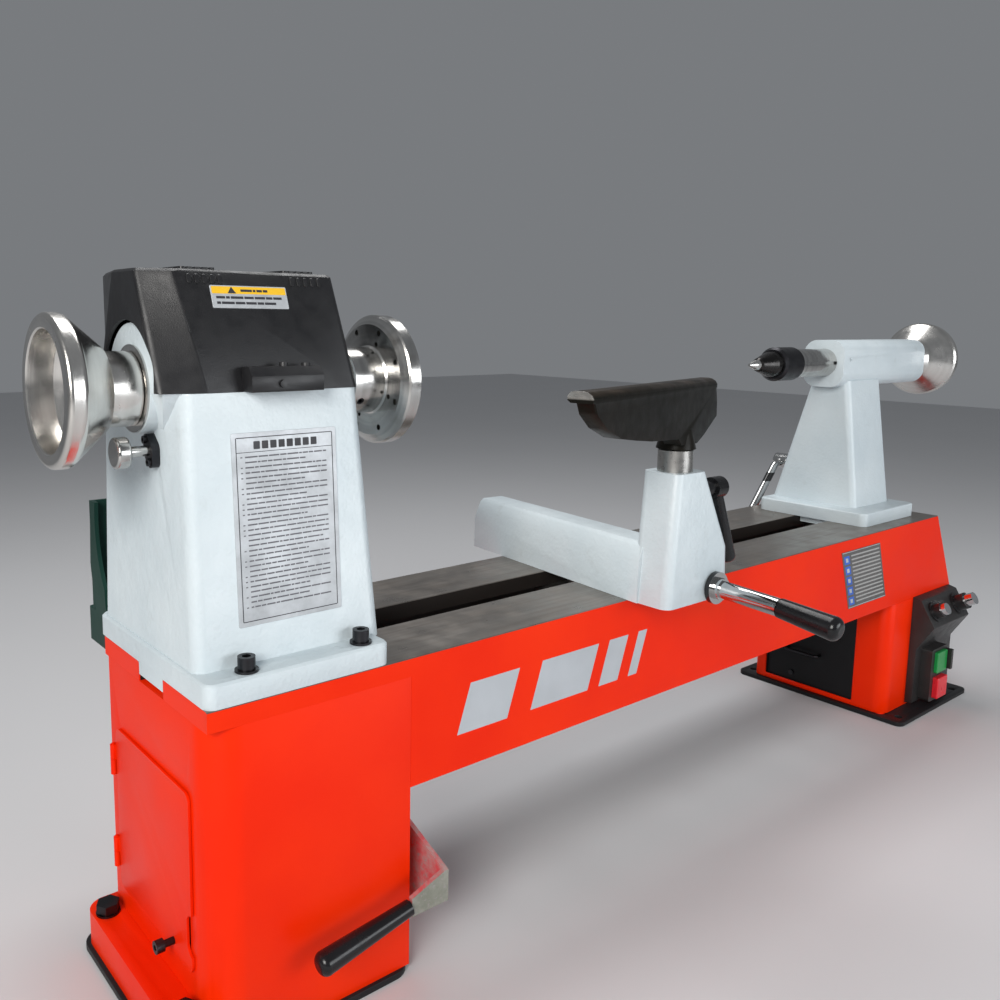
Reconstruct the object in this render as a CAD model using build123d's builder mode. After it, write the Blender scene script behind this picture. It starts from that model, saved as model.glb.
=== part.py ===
"""Variable-speed wood lathe on two pedestals, in millimetres.

The origin is on the floor, below the spindle axis and the middle of the headstock foot.
+X runs along the bed to the tailstock, +Y to the back of the machine, +Z up.
"""

from build123d import *
from math import atan2, cos, degrees, hypot, pi, radians, sin
import os

os.makedirs("parts", exist_ok=True)

# ---------------------------------------------------------------- driving dimensions
SPINDLE_HEIGHT = 680.0  # spindle axis above the floor
CENTRE_HEIGHT = 300.0  # spindle axis above the bed, which gives a 600 mm swing
BED_TOP = SPINDLE_HEIGHT - CENTRE_HEIGHT
BED_HALF_WIDTH = 137.0
GAP_HALF_WIDTH = 33.0
WAY_THICKNESS = 22.0
BED_DEPTH = 153.0
BED_LEFT = -108.5
BED_END_TOP = 1446.0  # right end of the bed at its top face
BED_END_BOTTOM = 1528.0  # right end of the bed at its underside
BED_WALL = 10.0

CABINET_RIGHT = 136.5
PAD_THICKNESS = 8.0
SHEET = 5.0  # wall of the cabinet and the right leg
LEG_LEFT, LEG_RIGHT = 1281.0, 1526.0

SLIDE_GAP = 0.3  # between faces that slide on each other
RUNNING_GAP = 0.05  # radial, between a shaft and its hole
FACE_GAP = 0.5  # between the ends of parts that turn past each other

BED_BOTTOM = BED_TOP - BED_DEPTH
WAY_BOTTOM = BED_TOP - WAY_THICKNESS
WAY_WIDTH = BED_HALF_WIDTH - GAP_HALF_WIDTH
WAY_CENTRE = (BED_HALF_WIDTH + GAP_HALF_WIDTH) / 2

SPINDLE_PLANE = Plane(origin=(0, 0, SPINDLE_HEIGHT), x_dir=(1, 0, 0), z_dir=(0, -1, 0))
SPINDLE_AXIS = Axis((0, 0, SPINDLE_HEIGHT), (1, 0, 0))


def outline(plane, points):
    """A closed face on a plane, through the points in order."""
    with BuildSketch(plane) as face:
        with BuildLine():
            Polyline(*points, close=True)
        make_face()
    return face.sketch


def facing_x(x, y=0.0, z=0.0):
    """A plane across the lathe, with its own x along +Y, its own y along +Z and its normal along +X."""
    return Plane(origin=(x, y, z), x_dir=(0, 1, 0), z_dir=(1, 0, 0))


def facing_back(x, y, z):
    """An upright plane with its own x along -X, its own y along +Z and its normal along +Y."""
    return Plane(origin=(x, y, z), x_dir=(-1, 0, 0), z_dir=(0, 1, 0))


def rounded_plan(z, x_range, y_range, radius):
    """A level rectangle with rounded corners."""
    with BuildSketch(Plane.XY.offset(z)) as plan:
        with Locations(((x_range[0] + x_range[1]) / 2, (y_range[0] + y_range[1]) / 2)):
            RectangleRounded(x_range[1] - x_range[0], y_range[1] - y_range[0], radius)
    return plan.sketch


# ---------------------------------------------------------------- bed
BELT_SLOT = (140.0, 150.0)  # opening under the headstock for the drive belt
RIB_PITCH = 280.0
RIB_COUNT = 4
RIB_HEIGHT = 82.0
LIP_WIDTH = 24.0
LIP_THICKNESS = 8.0
STIFFENER_Y = 66.0
STIFFENER_DEPTH = 44.0
END_WALL = 12.0
BED_WALLS_LEFT = CABINET_RIGHT + SLIDE_GAP

with BuildPart() as bed:
    with BuildSketch(Plane.YZ.offset(BED_LEFT)):
        for side in (-1, 1):
            with Locations((side * WAY_CENTRE, BED_TOP - WAY_THICKNESS / 2)):
                Rectangle(WAY_WIDTH, WAY_THICKNESS)
    extrude(amount=BED_END_BOTTOM - BED_LEFT)
    with BuildSketch(Plane.YZ.offset(BED_WALLS_LEFT)):
        for side in (-1, 1):
            with Locations((side * (BED_HALF_WIDTH - BED_WALL / 2), BED_TOP - BED_DEPTH / 2)):
                Rectangle(BED_WALL, BED_DEPTH)
            with Locations((side * (BED_HALF_WIDTH - LIP_WIDTH / 2), BED_BOTTOM + LIP_THICKNESS / 2)):
                Rectangle(LIP_WIDTH, LIP_THICKNESS)
            with Locations((side * STIFFENER_Y, WAY_BOTTOM - STIFFENER_DEPTH / 2)):
                Rectangle(LIP_THICKNESS, STIFFENER_DEPTH)
    extrude(amount=BED_END_BOTTOM - BED_WALLS_LEFT)
    for number in range(RIB_COUNT):
        with Locations((CABINET_RIGHT + RIB_PITCH * (number + 0.5), 0, BED_BOTTOM + RIB_HEIGHT / 2)):
            Box(BED_WALL, 2 * BED_HALF_WIDTH - BED_WALL, RIB_HEIGHT)
    extrude(
        outline(
            Plane.XZ,
            [
                (BED_END_TOP - END_WALL, BED_TOP),
                (BED_END_TOP, BED_TOP),
                (BED_END_BOTTOM, BED_BOTTOM),
                (BED_END_BOTTOM - END_WALL, BED_BOTTOM),
            ],
        ),
        amount=BED_HALF_WIDTH,
        both=True,
    )
    extrude(
        outline(
            Plane.XZ,
            [
                (BED_END_TOP, BED_TOP),
                (BED_END_TOP, BED_TOP + 1),
                (BED_END_BOTTOM + 1, BED_TOP + 1),
                (BED_END_BOTTOM + 1, BED_BOTTOM),
                (BED_END_BOTTOM, BED_BOTTOM),
            ],
        ),
        amount=BED_HALF_WIDTH + 1,
        both=True,
        mode=Mode.SUBTRACT,
    )
    with Locations((0, 0, BED_TOP - WAY_THICKNESS / 2)):
        Box(BELT_SLOT[0], BELT_SLOT[1], WAY_THICKNESS, mode=Mode.SUBTRACT)
    chamfer(bed.edges().filter_by(Axis.X).group_by(Axis.Z)[-1], length=1.0)
bed.part.label = "bed"
export_step(bed.part, "parts/bed.step")

# ---------------------------------------------------------------- left cabinet and its pad
CABINET_TOP = WAY_BOTTOM
CABINET_FRONT_CORNER = 40.0
CABINET_CORNER = 12.0
TOP_PLATE = 8.0
CABINET_WIDTH = CABINET_RIGHT - BED_LEFT
CABINET_X = (CABINET_RIGHT + BED_LEFT) / 2
DOOR_WINDOW = (180.0, 178.0)  # along Y, height
DOOR_CENTRE = (4.0, 181.0)  # y, z
LEDGE_REACH = 36.0
LEDGE_HEIGHT = 42.0
FOOT_BOLTS = [(BED_LEFT - 19, 108.0), (BED_LEFT - 19, -108.0)]
FOOT_BOLT_HOLE = 7.0
MOTOR_PIVOT = (100.0, 250.0)  # y, z of the motor cradle's pivot shaft
PIVOT_RADIUS = 10.0


def cabinet_plan(z, inset):
    """Plan of the left cabinet, with the large corner at the operator's left."""
    with BuildSketch(Plane.XY.offset(z)) as plan:
        with Locations((CABINET_X, 0)):
            Rectangle(CABINET_WIDTH - 2 * inset, 2 * (BED_HALF_WIDTH - inset))
        fillet(plan.vertices().group_by(Axis.Y)[0].sort_by(Axis.X)[0], radius=CABINET_FRONT_CORNER - inset)
        fillet(plan.vertices().group_by(Axis.Y)[-1], radius=CABINET_CORNER - inset)
    return plan.sketch


with BuildPart() as left_cabinet:
    extrude(cabinet_plan(PAD_THICKNESS, 0), amount=CABINET_TOP - PAD_THICKNESS)
    extrude(
        cabinet_plan(PAD_THICKNESS + SHEET, SHEET),
        amount=CABINET_TOP - PAD_THICKNESS - SHEET - TOP_PLATE,
        mode=Mode.SUBTRACT,
    )
    with BuildSketch(Plane.XY.offset(CABINET_TOP)):
        Rectangle(*BELT_SLOT)
    extrude(amount=-TOP_PLATE, mode=Mode.SUBTRACT)
    with BuildSketch(Plane.XY.offset(PAD_THICKNESS)):
        with Locations((CABINET_X, 0)):
            Rectangle(CABINET_WIDTH - 60, 2 * BED_HALF_WIDTH - 60)
    extrude(amount=SHEET, mode=Mode.SUBTRACT)
    with BuildSketch(facing_x(BED_LEFT, *DOOR_CENTRE)):
        RectangleRounded(DOOR_WINDOW[0], DOOR_WINDOW[1], 6)
    extrude(amount=SHEET, mode=Mode.SUBTRACT)
    with BuildSketch(facing_x(CABINET_RIGHT, *MOTOR_PIVOT)):
        Circle(PIVOT_RADIUS + RUNNING_GAP)
    extrude(amount=-SHEET, mode=Mode.SUBTRACT)
    with BuildSketch(Plane.XY.offset(PAD_THICKNESS)):
        with Locations((BED_LEFT - (LEDGE_REACH - SHEET) / 2, 2)):
            Rectangle(LEDGE_REACH + SHEET, 2 * BED_HALF_WIDTH + 4)
    extrude(amount=LEDGE_HEIGHT)
    fillet(left_cabinet.edges().filter_by(Axis.Z).group_by(Axis.X)[0], radius=22)
    with BuildSketch(Plane.XY.offset(PAD_THICKNESS + LEDGE_HEIGHT)):
        with Locations(*FOOT_BOLTS):
            Circle(FOOT_BOLT_HOLE)
    extrude(amount=-LEDGE_HEIGHT, mode=Mode.SUBTRACT)
left_cabinet.part.label = "left_cabinet"
export_step(left_cabinet.part, "parts/left_cabinet.step")

with BuildPart() as left_base_pad:
    with BuildSketch():
        with Locations((CABINET_X - LEDGE_REACH / 2 - 1, 2)):
            RectangleRounded(CABINET_WIDTH + LEDGE_REACH + 8, 2 * BED_HALF_WIDTH + 14, 24)
    extrude(amount=PAD_THICKNESS)
left_base_pad.part.label = "left_base_pad"
export_step(left_base_pad.part, "parts/left_base_pad.step")

FOOT_BOLT_FLATS = 24.0
FOOT_BOLT_HEAD = 11.0
WASHER = 2.5
with BuildPart() as cabinet_foot_bolts:
    bolt_seat = PAD_THICKNESS + LEDGE_HEIGHT
    with BuildSketch(Plane.XY.offset(bolt_seat)):
        with Locations(*FOOT_BOLTS):
            Circle(14)
    extrude(amount=WASHER)
    with BuildSketch(Plane.XY.offset(bolt_seat + WASHER)):
        with Locations(*FOOT_BOLTS):
            RegularPolygon(FOOT_BOLT_FLATS / 2, 6, major_radius=False)
    extrude(amount=FOOT_BOLT_HEAD)
    with BuildSketch(Plane.XY.offset(bolt_seat)):
        with Locations(*FOOT_BOLTS):
            Circle(FOOT_BOLT_HOLE)
    extrude(amount=-(LEDGE_HEIGHT - 4))
cabinet_foot_bolts.part.label = "cabinet_foot_bolts"
export_step(cabinet_foot_bolts.part, "parts/cabinet_foot_bolts.step")

# ---------------------------------------------------------------- cabinet door
DOOR_SIZE = (199.0, 198.0)
DOOR_THICKNESS = 3.0
DOOR_BACK = BED_LEFT - 0.6
HINGE_Y = DOOR_CENTRE[0] + DOOR_SIZE[0] / 2 + 6
HINGE_X = DOOR_BACK - 4
HINGE_RADIUS = 3.8
HINGE_PIN = 2.0
KNUCKLE = 18.0
HINGE_ZS = [DOOR_CENTRE[1] - 58, DOOR_CENTRE[1] + 58]

with BuildPart() as access_door:
    with BuildSketch(facing_x(DOOR_BACK, *DOOR_CENTRE)):
        RectangleRounded(DOOR_SIZE[0], DOOR_SIZE[1], 10)
        with Locations((-DOOR_SIZE[0] / 2, -56)):
            SlotOverall(46, 22, rotation=90, mode=Mode.SUBTRACT)
    extrude(amount=-DOOR_THICKNESS)
    for hinge_z in HINGE_ZS:
        with BuildSketch(Plane.XY.offset(hinge_z)):
            with Locations((HINGE_X, HINGE_Y)):
                Circle(HINGE_RADIUS)
            with Locations((DOOR_BACK - DOOR_THICKNESS / 2, HINGE_Y - 6)):
                Rectangle(DOOR_THICKNESS, 12)
            with Locations((HINGE_X, HINGE_Y)):
                Circle(HINGE_PIN + RUNNING_GAP, mode=Mode.SUBTRACT)
        extrude(amount=KNUCKLE)
access_door.part.label = "access_door"
export_step(access_door.part, "parts/access_door.step")

with BuildPart() as door_hinges:
    for hinge_z in HINGE_ZS:
        with BuildSketch(Plane.XY.offset(hinge_z - KNUCKLE - FACE_GAP)):
            with Locations((HINGE_X, HINGE_Y)):
                Circle(HINGE_RADIUS)
            with Locations(((HINGE_X + BED_LEFT) / 2, HINGE_Y)):
                Rectangle(BED_LEFT - HINGE_X, 6)
        extrude(amount=KNUCKLE)
        with BuildSketch(Plane.XY.offset(hinge_z - FACE_GAP)):
            with Locations((HINGE_X, HINGE_Y)):
                Circle(HINGE_PIN)
        extrude(amount=KNUCKLE + 2)
door_hinges.part.label = "door_hinges"
export_step(door_hinges.part, "parts/door_hinges.step")

DOOR_SCREW = (DOOR_CENTRE[0] - 54, DOOR_CENTRE[1] - 84)  # y, z
DOOR_SCREW_NECK = 12.0
with BuildPart() as door_screw:
    with BuildSketch(facing_x(DOOR_BACK - DOOR_THICKNESS, *DOOR_SCREW)):
        Circle(4)
    extrude(amount=-DOOR_SCREW_NECK)
    with BuildSketch(facing_x(DOOR_BACK - DOOR_THICKNESS - DOOR_SCREW_NECK, *DOOR_SCREW)):
        Circle(7)
    extrude(amount=-9)
    with BuildSketch(facing_x(DOOR_BACK - DOOR_THICKNESS - DOOR_SCREW_NECK - 9, *DOOR_SCREW)):
        RegularPolygon(3.4, 6)
    extrude(amount=5, mode=Mode.SUBTRACT)
door_screw.part.label = "door_screw"
export_step(door_screw.part, "parts/door_screw.step")

# ---------------------------------------------------------------- right leg and its base
LEG_X = (LEG_LEFT + LEG_RIGHT) / 2
LEG_WINDOW = (186.0, 190.0)  # along Y, height
LEG_WINDOW_CENTRE = (20.0, 113.0)  # y, z
LEG_RECESS = 8.0

with BuildPart() as right_leg:
    with BuildSketch(Plane.XY.offset(PAD_THICKNESS)) as leg_plan:
        with Locations((LEG_X, 0)):
            Rectangle(LEG_RIGHT - LEG_LEFT, 2 * BED_HALF_WIDTH)
        fillet(leg_plan.vertices().group_by(Axis.Y)[0], radius=24)
        fillet(leg_plan.vertices().group_by(Axis.Y)[-1], radius=10)
    extrude(amount=BED_BOTTOM - PAD_THICKNESS)
    with BuildSketch(Plane.XY.offset(PAD_THICKNESS)):
        with Locations((LEG_X, 0)):
            RectangleRounded(LEG_RIGHT - LEG_LEFT - 2 * SHEET, 2 * (BED_HALF_WIDTH - SHEET), 8)
    extrude(amount=BED_BOTTOM - PAD_THICKNESS - SHEET, mode=Mode.SUBTRACT)
    with BuildSketch(facing_x(LEG_LEFT, *LEG_WINDOW_CENTRE)):
        Rectangle(*LEG_WINDOW)
    extrude(amount=SHEET, mode=Mode.SUBTRACT)
right_leg.part.label = "right_leg"
export_step(right_leg.part, "parts/right_leg.step")

COVER_THICKNESS = 2.0
with BuildPart() as right_leg_cover:
    with BuildSketch(facing_x(LEG_LEFT + LEG_RECESS, *LEG_WINDOW_CENTRE)):
        Rectangle(LEG_WINDOW[0] + 16, LEG_WINDOW[1] + 8)
    extrude(amount=COVER_THICKNESS)
    with BuildSketch(facing_x(LEG_LEFT + LEG_RECESS, *LEG_WINDOW_CENTRE)):
        for number in range(6):
            with Locations((0, 18 + 12 * number)):
                SlotOverall(120, 4)
    extrude(amount=COVER_THICKNESS, mode=Mode.SUBTRACT)
    with BuildSketch(facing_x(LEG_LEFT + LEG_RECESS, *LEG_WINDOW_CENTRE)):
        for side in (-1, 1):
            with Locations((side * (LEG_WINDOW[0] / 2 + 4), 0)):
                Rectangle(8, LEG_WINDOW[1])
    extrude(amount=-(LEG_RECESS - SHEET))
right_leg_cover.part.label = "right_leg_cover"
export_step(right_leg_cover.part, "parts/right_leg_cover.step")

HANDLE_YS = (0.0, 68.0)
HANDLE_Z = 86.0
HANDLE_ROD = 3.0
with BuildPart() as cover_handle:
    handle_x = LEG_LEFT - 6
    with BuildLine() as handle_path:
        Polyline(
            (LEG_LEFT + LEG_RECESS, HANDLE_YS[0], HANDLE_Z),
            (handle_x, HANDLE_YS[0], HANDLE_Z),
            (handle_x, HANDLE_YS[1], HANDLE_Z),
            (LEG_LEFT + LEG_RECESS, HANDLE_YS[1], HANDLE_Z),
        )
        fillet(handle_path.vertices().group_by(Axis.X)[0], radius=5)
    with BuildSketch(Plane(origin=handle_path.line @ 0, z_dir=handle_path.line % 0)):
        Circle(HANDLE_ROD)
    sweep()
    with BuildSketch(facing_x(LEG_LEFT + LEG_RECESS, 58, 34)):
        Circle(5)
    extrude(amount=-4)
cover_handle.part.label = "cover_handle"
export_step(cover_handle.part, "parts/cover_handle.step")

PLATE_X_RANGE = (1272.0, 1562.0)
PLATE_Y_RANGE = (-176.0, 171.0)
with BuildPart() as right_base_plate:
    extrude(rounded_plan(0, PLATE_X_RANGE, PLATE_Y_RANGE, 14), amount=PAD_THICKNESS)
    with BuildSketch(Plane.XY.offset(PAD_THICKNESS)):
        with GridLocations(0, 310, 1, 2):
            with Locations((PLATE_X_RANGE[0] + 30, -2.5), (PLATE_X_RANGE[1] - 30, -2.5)):
                Circle(7)
    extrude(amount=-PAD_THICKNESS, mode=Mode.SUBTRACT)
right_base_plate.part.label = "right_base_plate"
export_step(right_base_plate.part, "parts/right_base_plate.step")

with BuildPart() as inverter:
    extrude(rounded_plan(60, (LEG_RIGHT - 106, LEG_RIGHT - SHEET), (-60, 60), 4), amount=120)
    for number in range(7):
        with Locations((LEG_LEFT + 20, -48 + 16 * number, 120)):
            Box(8, 4, 100, mode=Mode.SUBTRACT)
    extrude(rounded_plan(PAD_THICKNESS, (LEG_LEFT + 34, LEG_LEFT + 54), (-40, 40), 3), amount=60 - PAD_THICKNESS)
inverter.part.label = "inverter"
export_step(inverter.part, "parts/inverter.step")

# ---------------------------------------------------------------- headstock
FOOT_THICKNESS = 25.0
FOOT_HALF_LENGTH = 108.4
FOOT_Y_RANGE = (-137.0, 153.0)
LID_SPLIT = SPINDLE_HEIGHT - 1  # level where the casting ends and the lid begins
COLUMN_BASE_X, COLUMN_BASE_Y = (-104.0, 120.0), (-104.0, 149.0)
COLUMN_TOP_X, COLUMN_TOP_Y = (-102.0, 100.0), (-88.0, 132.0)
COLUMN_WALL = 15.0
TONGUE_HALF_WIDTH = GAP_HALF_WIDTH - 1
TONGUE_DEPTH = 14.0
LEFT_BOSS_RADIUS, RIGHT_BOSS_RADIUS = 46.0, 60.0
ARCH_RADIUS = 66.0  # raised arch above the left boss, inside the lid's cut-out
SHOULDER_BOTTOM = 641.0  # the left boss swells out of the column from here up to the lid
LEFT_BOSS_FACE, RIGHT_BOSS_FACE = -117.0, 108.0
BEARING_RADIUS = 40.0
BEARING_WIDTH = 18.0
BEARING_X = (LEFT_BOSS_FACE + 3, RIGHT_BOSS_FACE - 3 - BEARING_WIDTH)  # left end of each bearing
SHAFT_RADIUS = 20.0
HEADSTOCK_BOLTS = [(-57.0, -120.0), (80.0, -120.0), (-57.0, 118.0), (80.0, 118.0)]
INDEX_PIN_POINT = (-19.0, 618.0)  # y, z of the index pin
INDEX_PIN_RADIUS = 5.5



def shoulder_plan(z, left, nose_half, root_half):
    """The outline of the left boss's shoulder at a level: a nose that narrows away from the column."""
    return outline(
        Plane.XY.offset(z),
        [
            (left, -nose_half),
            (-80, -root_half),
            (-60, -root_half),
            (-60, root_half),
            (-80, root_half),
            (left, nose_half),
        ],
    )


with BuildPart() as headstock_casting:
    extrude(
        rounded_plan(BED_TOP, (-FOOT_HALF_LENGTH, FOOT_HALF_LENGTH), FOOT_Y_RANGE, 12),
        amount=FOOT_THICKNESS,
    )
    chamfer(headstock_casting.faces().sort_by(Axis.Z)[-1].edges(), length=2.5)
    loft(
        [
            rounded_plan(BED_TOP + FOOT_THICKNESS - 4, COLUMN_BASE_X, COLUMN_BASE_Y, 14),
            rounded_plan(LID_SPLIT, COLUMN_TOP_X, COLUMN_TOP_Y, 14),
        ]
    )
    with Locations((0, 0, BED_TOP - TONGUE_DEPTH / 2)):
        Box(2 * FOOT_HALF_LENGTH, 2 * TONGUE_HALF_WIDTH, TONGUE_DEPTH)
    loft(
        [
            shoulder_plan(SHOULDER_BOTTOM, COLUMN_TOP_X[0] - 0.5, 40, 56),
            shoulder_plan(LID_SPLIT, LEFT_BOSS_FACE, 75, 87),
        ],
        ruled=True,
    )
    with BuildSketch(facing_x(LEFT_BOSS_FACE, 0, SPINDLE_HEIGHT)):
        Circle(ARCH_RADIUS)
        with Locations((0, -ARCH_RADIUS - SPINDLE_HEIGHT + LID_SPLIT)):
            Rectangle(2 * ARCH_RADIUS, 2 * ARCH_RADIUS, mode=Mode.SUBTRACT)
        Circle(LEFT_BOSS_RADIUS)
    extrude(amount=COLUMN_TOP_X[0] + COLUMN_WALL - LEFT_BOSS_FACE)
    with BuildSketch(facing_x(RIGHT_BOSS_FACE, 0, SPINDLE_HEIGHT)):
        Circle(RIGHT_BOSS_RADIUS)
    extrude(amount=COLUMN_TOP_X[1] - COLUMN_WALL - RIGHT_BOSS_FACE)
    with BuildSketch(Plane.XY.offset(BED_TOP + FOOT_THICKNESS)) as chamber_base:
        with Locations(((COLUMN_BASE_X[0] + COLUMN_BASE_X[1]) / 2, sum(COLUMN_BASE_Y) / 2)):
            Rectangle(
                COLUMN_BASE_X[1] - COLUMN_BASE_X[0] - 2 * COLUMN_WALL,
                COLUMN_BASE_Y[1] - COLUMN_BASE_Y[0] - 2 * COLUMN_WALL,
            )
    with BuildSketch(Plane.XY.offset(LID_SPLIT)) as chamber_top:
        with Locations(((COLUMN_TOP_X[0] + COLUMN_TOP_X[1]) / 2, sum(COLUMN_TOP_Y) / 2)):
            Rectangle(
                COLUMN_TOP_X[1] - COLUMN_TOP_X[0] - 2 * COLUMN_WALL,
                COLUMN_TOP_Y[1] - COLUMN_TOP_Y[0] - 2 * COLUMN_WALL,
            )
    loft([chamber_base.sketch, chamber_top.sketch], mode=Mode.SUBTRACT)
    with Locations((0, 0, BED_TOP)):
        Box(BELT_SLOT[0] - 20, 2 * TONGUE_HALF_WIDTH + 60, 4 * FOOT_THICKNESS, mode=Mode.SUBTRACT)
    for left_end in BEARING_X:
        with BuildSketch(facing_x(left_end, 0, SPINDLE_HEIGHT)):
            Circle(BEARING_RADIUS)
        extrude(amount=BEARING_WIDTH, mode=Mode.SUBTRACT)
    with BuildSketch(facing_x(LEFT_BOSS_FACE - 1, 0, SPINDLE_HEIGHT)):
        Circle(SHAFT_RADIUS + 12)
    extrude(amount=RIGHT_BOSS_FACE - LEFT_BOSS_FACE + 2, mode=Mode.SUBTRACT)
    with BuildSketch(facing_x(COLUMN_BASE_X[0] - 10, *INDEX_PIN_POINT)):
        Circle(INDEX_PIN_RADIUS + RUNNING_GAP)
    extrude(amount=50, mode=Mode.SUBTRACT)
    with BuildSketch(Plane.XY.offset(BED_TOP + FOOT_THICKNESS)):
        with Locations(*HEADSTOCK_BOLTS):
            Circle(6)
    extrude(amount=-FOOT_THICKNESS, mode=Mode.SUBTRACT)
headstock_casting.part.label = "headstock_casting"
export_step(headstock_casting.part, "parts/headstock_casting.step")

with BuildPart() as headstock_bolts:
    washer_top = BED_TOP + FOOT_THICKNESS + WASHER
    for radius, low, high in [(12, -WASHER, 0), (9, 0, 13), (5.9, -WASHER - 22, -WASHER)]:
        with BuildSketch(Plane.XY.offset(washer_top + low)):
            with Locations(*HEADSTOCK_BOLTS):
                Circle(radius)
        extrude(amount=high - low)
    with BuildSketch(Plane.XY.offset(washer_top + 13)):
        with Locations(*HEADSTOCK_BOLTS):
            RegularPolygon(5, 6)
    extrude(amount=-7, mode=Mode.SUBTRACT)
headstock_bolts.part.label = "headstock_bolts"
export_step(headstock_bolts.part, "parts/headstock_bolts.step")

with BuildPart() as spindle_bearings:
    for left_end in BEARING_X:
        with BuildSketch(facing_x(left_end, 0, SPINDLE_HEIGHT)):
            Circle(BEARING_RADIUS)
            Circle(SHAFT_RADIUS + RUNNING_GAP, mode=Mode.SUBTRACT)
        extrude(amount=BEARING_WIDTH)
        for face_x, depth in [(left_end, 1.0), (left_end + BEARING_WIDTH, -1.0)]:
            with BuildSketch(facing_x(face_x, 0, SPINDLE_HEIGHT)):
                Circle(BEARING_RADIUS - 6)
                Circle(SHAFT_RADIUS + 6, mode=Mode.SUBTRACT)
            extrude(amount=depth, mode=Mode.SUBTRACT)
spindle_bearings.part.label = "spindle_bearings"
export_step(spindle_bearings.part, "parts/spindle_bearings.step")

RETAINER_THICKNESS = 2.0
with BuildPart() as bearing_retainers:
    for face_x, depth, bore in [
        (LEFT_BOSS_FACE, -RETAINER_THICKNESS, SHAFT_RADIUS + 1),
        (RIGHT_BOSS_FACE, RETAINER_THICKNESS, 31.0),
    ]:
        with BuildSketch(facing_x(face_x, 0, SPINDLE_HEIGHT)):
            Circle(BEARING_RADIUS + 4.6)
            Circle(bore, mode=Mode.SUBTRACT)
        extrude(amount=depth)
bearing_retainers.part.label = "bearing_retainers"
export_step(bearing_retainers.part, "parts/bearing_retainers.step")

# Index pin: a plunger on the left side that locks the spindle through its 24-hole ring.
INDEX_FLANGE_FACE = -111.0
INDEX_EARS = [(5.0, 11.0), (-5.0, -11.0)]  # flange screws, from the pin
with BuildPart() as index_pin_flange:
    with BuildSketch(facing_x(INDEX_FLANGE_FACE, *INDEX_PIN_POINT)):
        Circle(11)
        with Locations(*INDEX_EARS):
            Circle(6)
        make_hull()
        Circle(INDEX_PIN_RADIUS + RUNNING_GAP, mode=Mode.SUBTRACT)
    extrude(amount=COLUMN_TOP_X[0] + 0.5 - INDEX_FLANGE_FACE)
    split(
        bisect_by=Plane(
            origin=(COLUMN_BASE_X[0], 0, BED_TOP + FOOT_THICKNESS - 4),
            x_dir=(0, 1, 0),
            z_dir=(
                LID_SPLIT - BED_TOP - FOOT_THICKNESS + 4,
                0,
                COLUMN_BASE_X[0] - COLUMN_TOP_X[0],
            ),
        ),
        keep=Keep.BOTTOM,
    )
    with BuildSketch(facing_x(INDEX_FLANGE_FACE, *INDEX_PIN_POINT)):
        with Locations(*INDEX_EARS):
            Circle(4)
    extrude(amount=-3)
    with BuildSketch(facing_x(INDEX_FLANGE_FACE - 3, *INDEX_PIN_POINT)):
        with Locations(*INDEX_EARS):
            RegularPolygon(2.2, 6)
    extrude(amount=2.5, mode=Mode.SUBTRACT)
index_pin_flange.part.label = "index_pin_flange"
export_step(index_pin_flange.part, "parts/index_pin_flange.step")

INDEX_TRAVEL = 16.0
INDEX_TIP = -80.0
INDEX_KNOB = (-146.3, -132.0)
with BuildPart() as index_pin:
    with BuildSketch(facing_x(INDEX_TIP, *INDEX_PIN_POINT)):
        Circle(INDEX_PIN_RADIUS)
    extrude(amount=INDEX_KNOB[1] - INDEX_TIP)
    chamfer(index_pin.faces().sort_by(Axis.X)[-1].edges(), length=1)
    with BuildSketch(facing_x(INDEX_KNOB[0], *INDEX_PIN_POINT)):
        Circle(16)
    extrude(amount=INDEX_KNOB[1] - INDEX_KNOB[0])
    fillet(index_pin.edges().filter_by(GeomType.CIRCLE).filter_by(lambda e: e.radius > 15), radius=3)
index_pin.part.label = "index_pin"
export_step(index_pin.part, "parts/index_pin.step")

# ---------------------------------------------------------------- spindle and what turns with it
SPINDLE_LEFT, SPINDLE_RIGHT = -176.0, 150.0
HANDWHEEL_HUB = (LEFT_BOSS_FACE - RETAINER_THICKNESS - FACE_GAP, -151.0)  # right and left end
NUT_THREAD_RADIUS = 16.0
NOSE_SHOULDER = 28.0
THREAD_RADIUS = 16.5  # M33 nose thread
THROUGH_BORE = 5.0
HANDWHEEL_RADIUS = 75.5


def turned(points):
    """A closed outline of (x, radius) points, to be revolved about the spindle axis."""
    return outline(SPINDLE_PLANE, points)


with BuildPart() as spindle:
    revolve(
        turned(
            [
                (SPINDLE_LEFT, THROUGH_BORE),
                (SPINDLE_LEFT, NUT_THREAD_RADIUS - 1.5),
                (SPINDLE_LEFT + 1.5, NUT_THREAD_RADIUS),
                (HANDWHEEL_HUB[0], NUT_THREAD_RADIUS),
                (HANDWHEEL_HUB[0], SHAFT_RADIUS),
                (RIGHT_BOSS_FACE - 2, SHAFT_RADIUS),
                (RIGHT_BOSS_FACE - 2, NOSE_SHOULDER),
                (128, NOSE_SHOULDER),
                (128, THREAD_RADIUS),
                (SPINDLE_RIGHT - 1.5, THREAD_RADIUS),
                (SPINDLE_RIGHT, THREAD_RADIUS - 1.5),
                (SPINDLE_RIGHT, 9.0),
                (SPINDLE_RIGHT - 68, 7.0),
                (SPINDLE_RIGHT - 72, THROUGH_BORE),
            ]
        ),
        axis=SPINDLE_AXIS,
    )
spindle.part.label = "spindle"
export_step(spindle.part, "parts/spindle.step")

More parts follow.
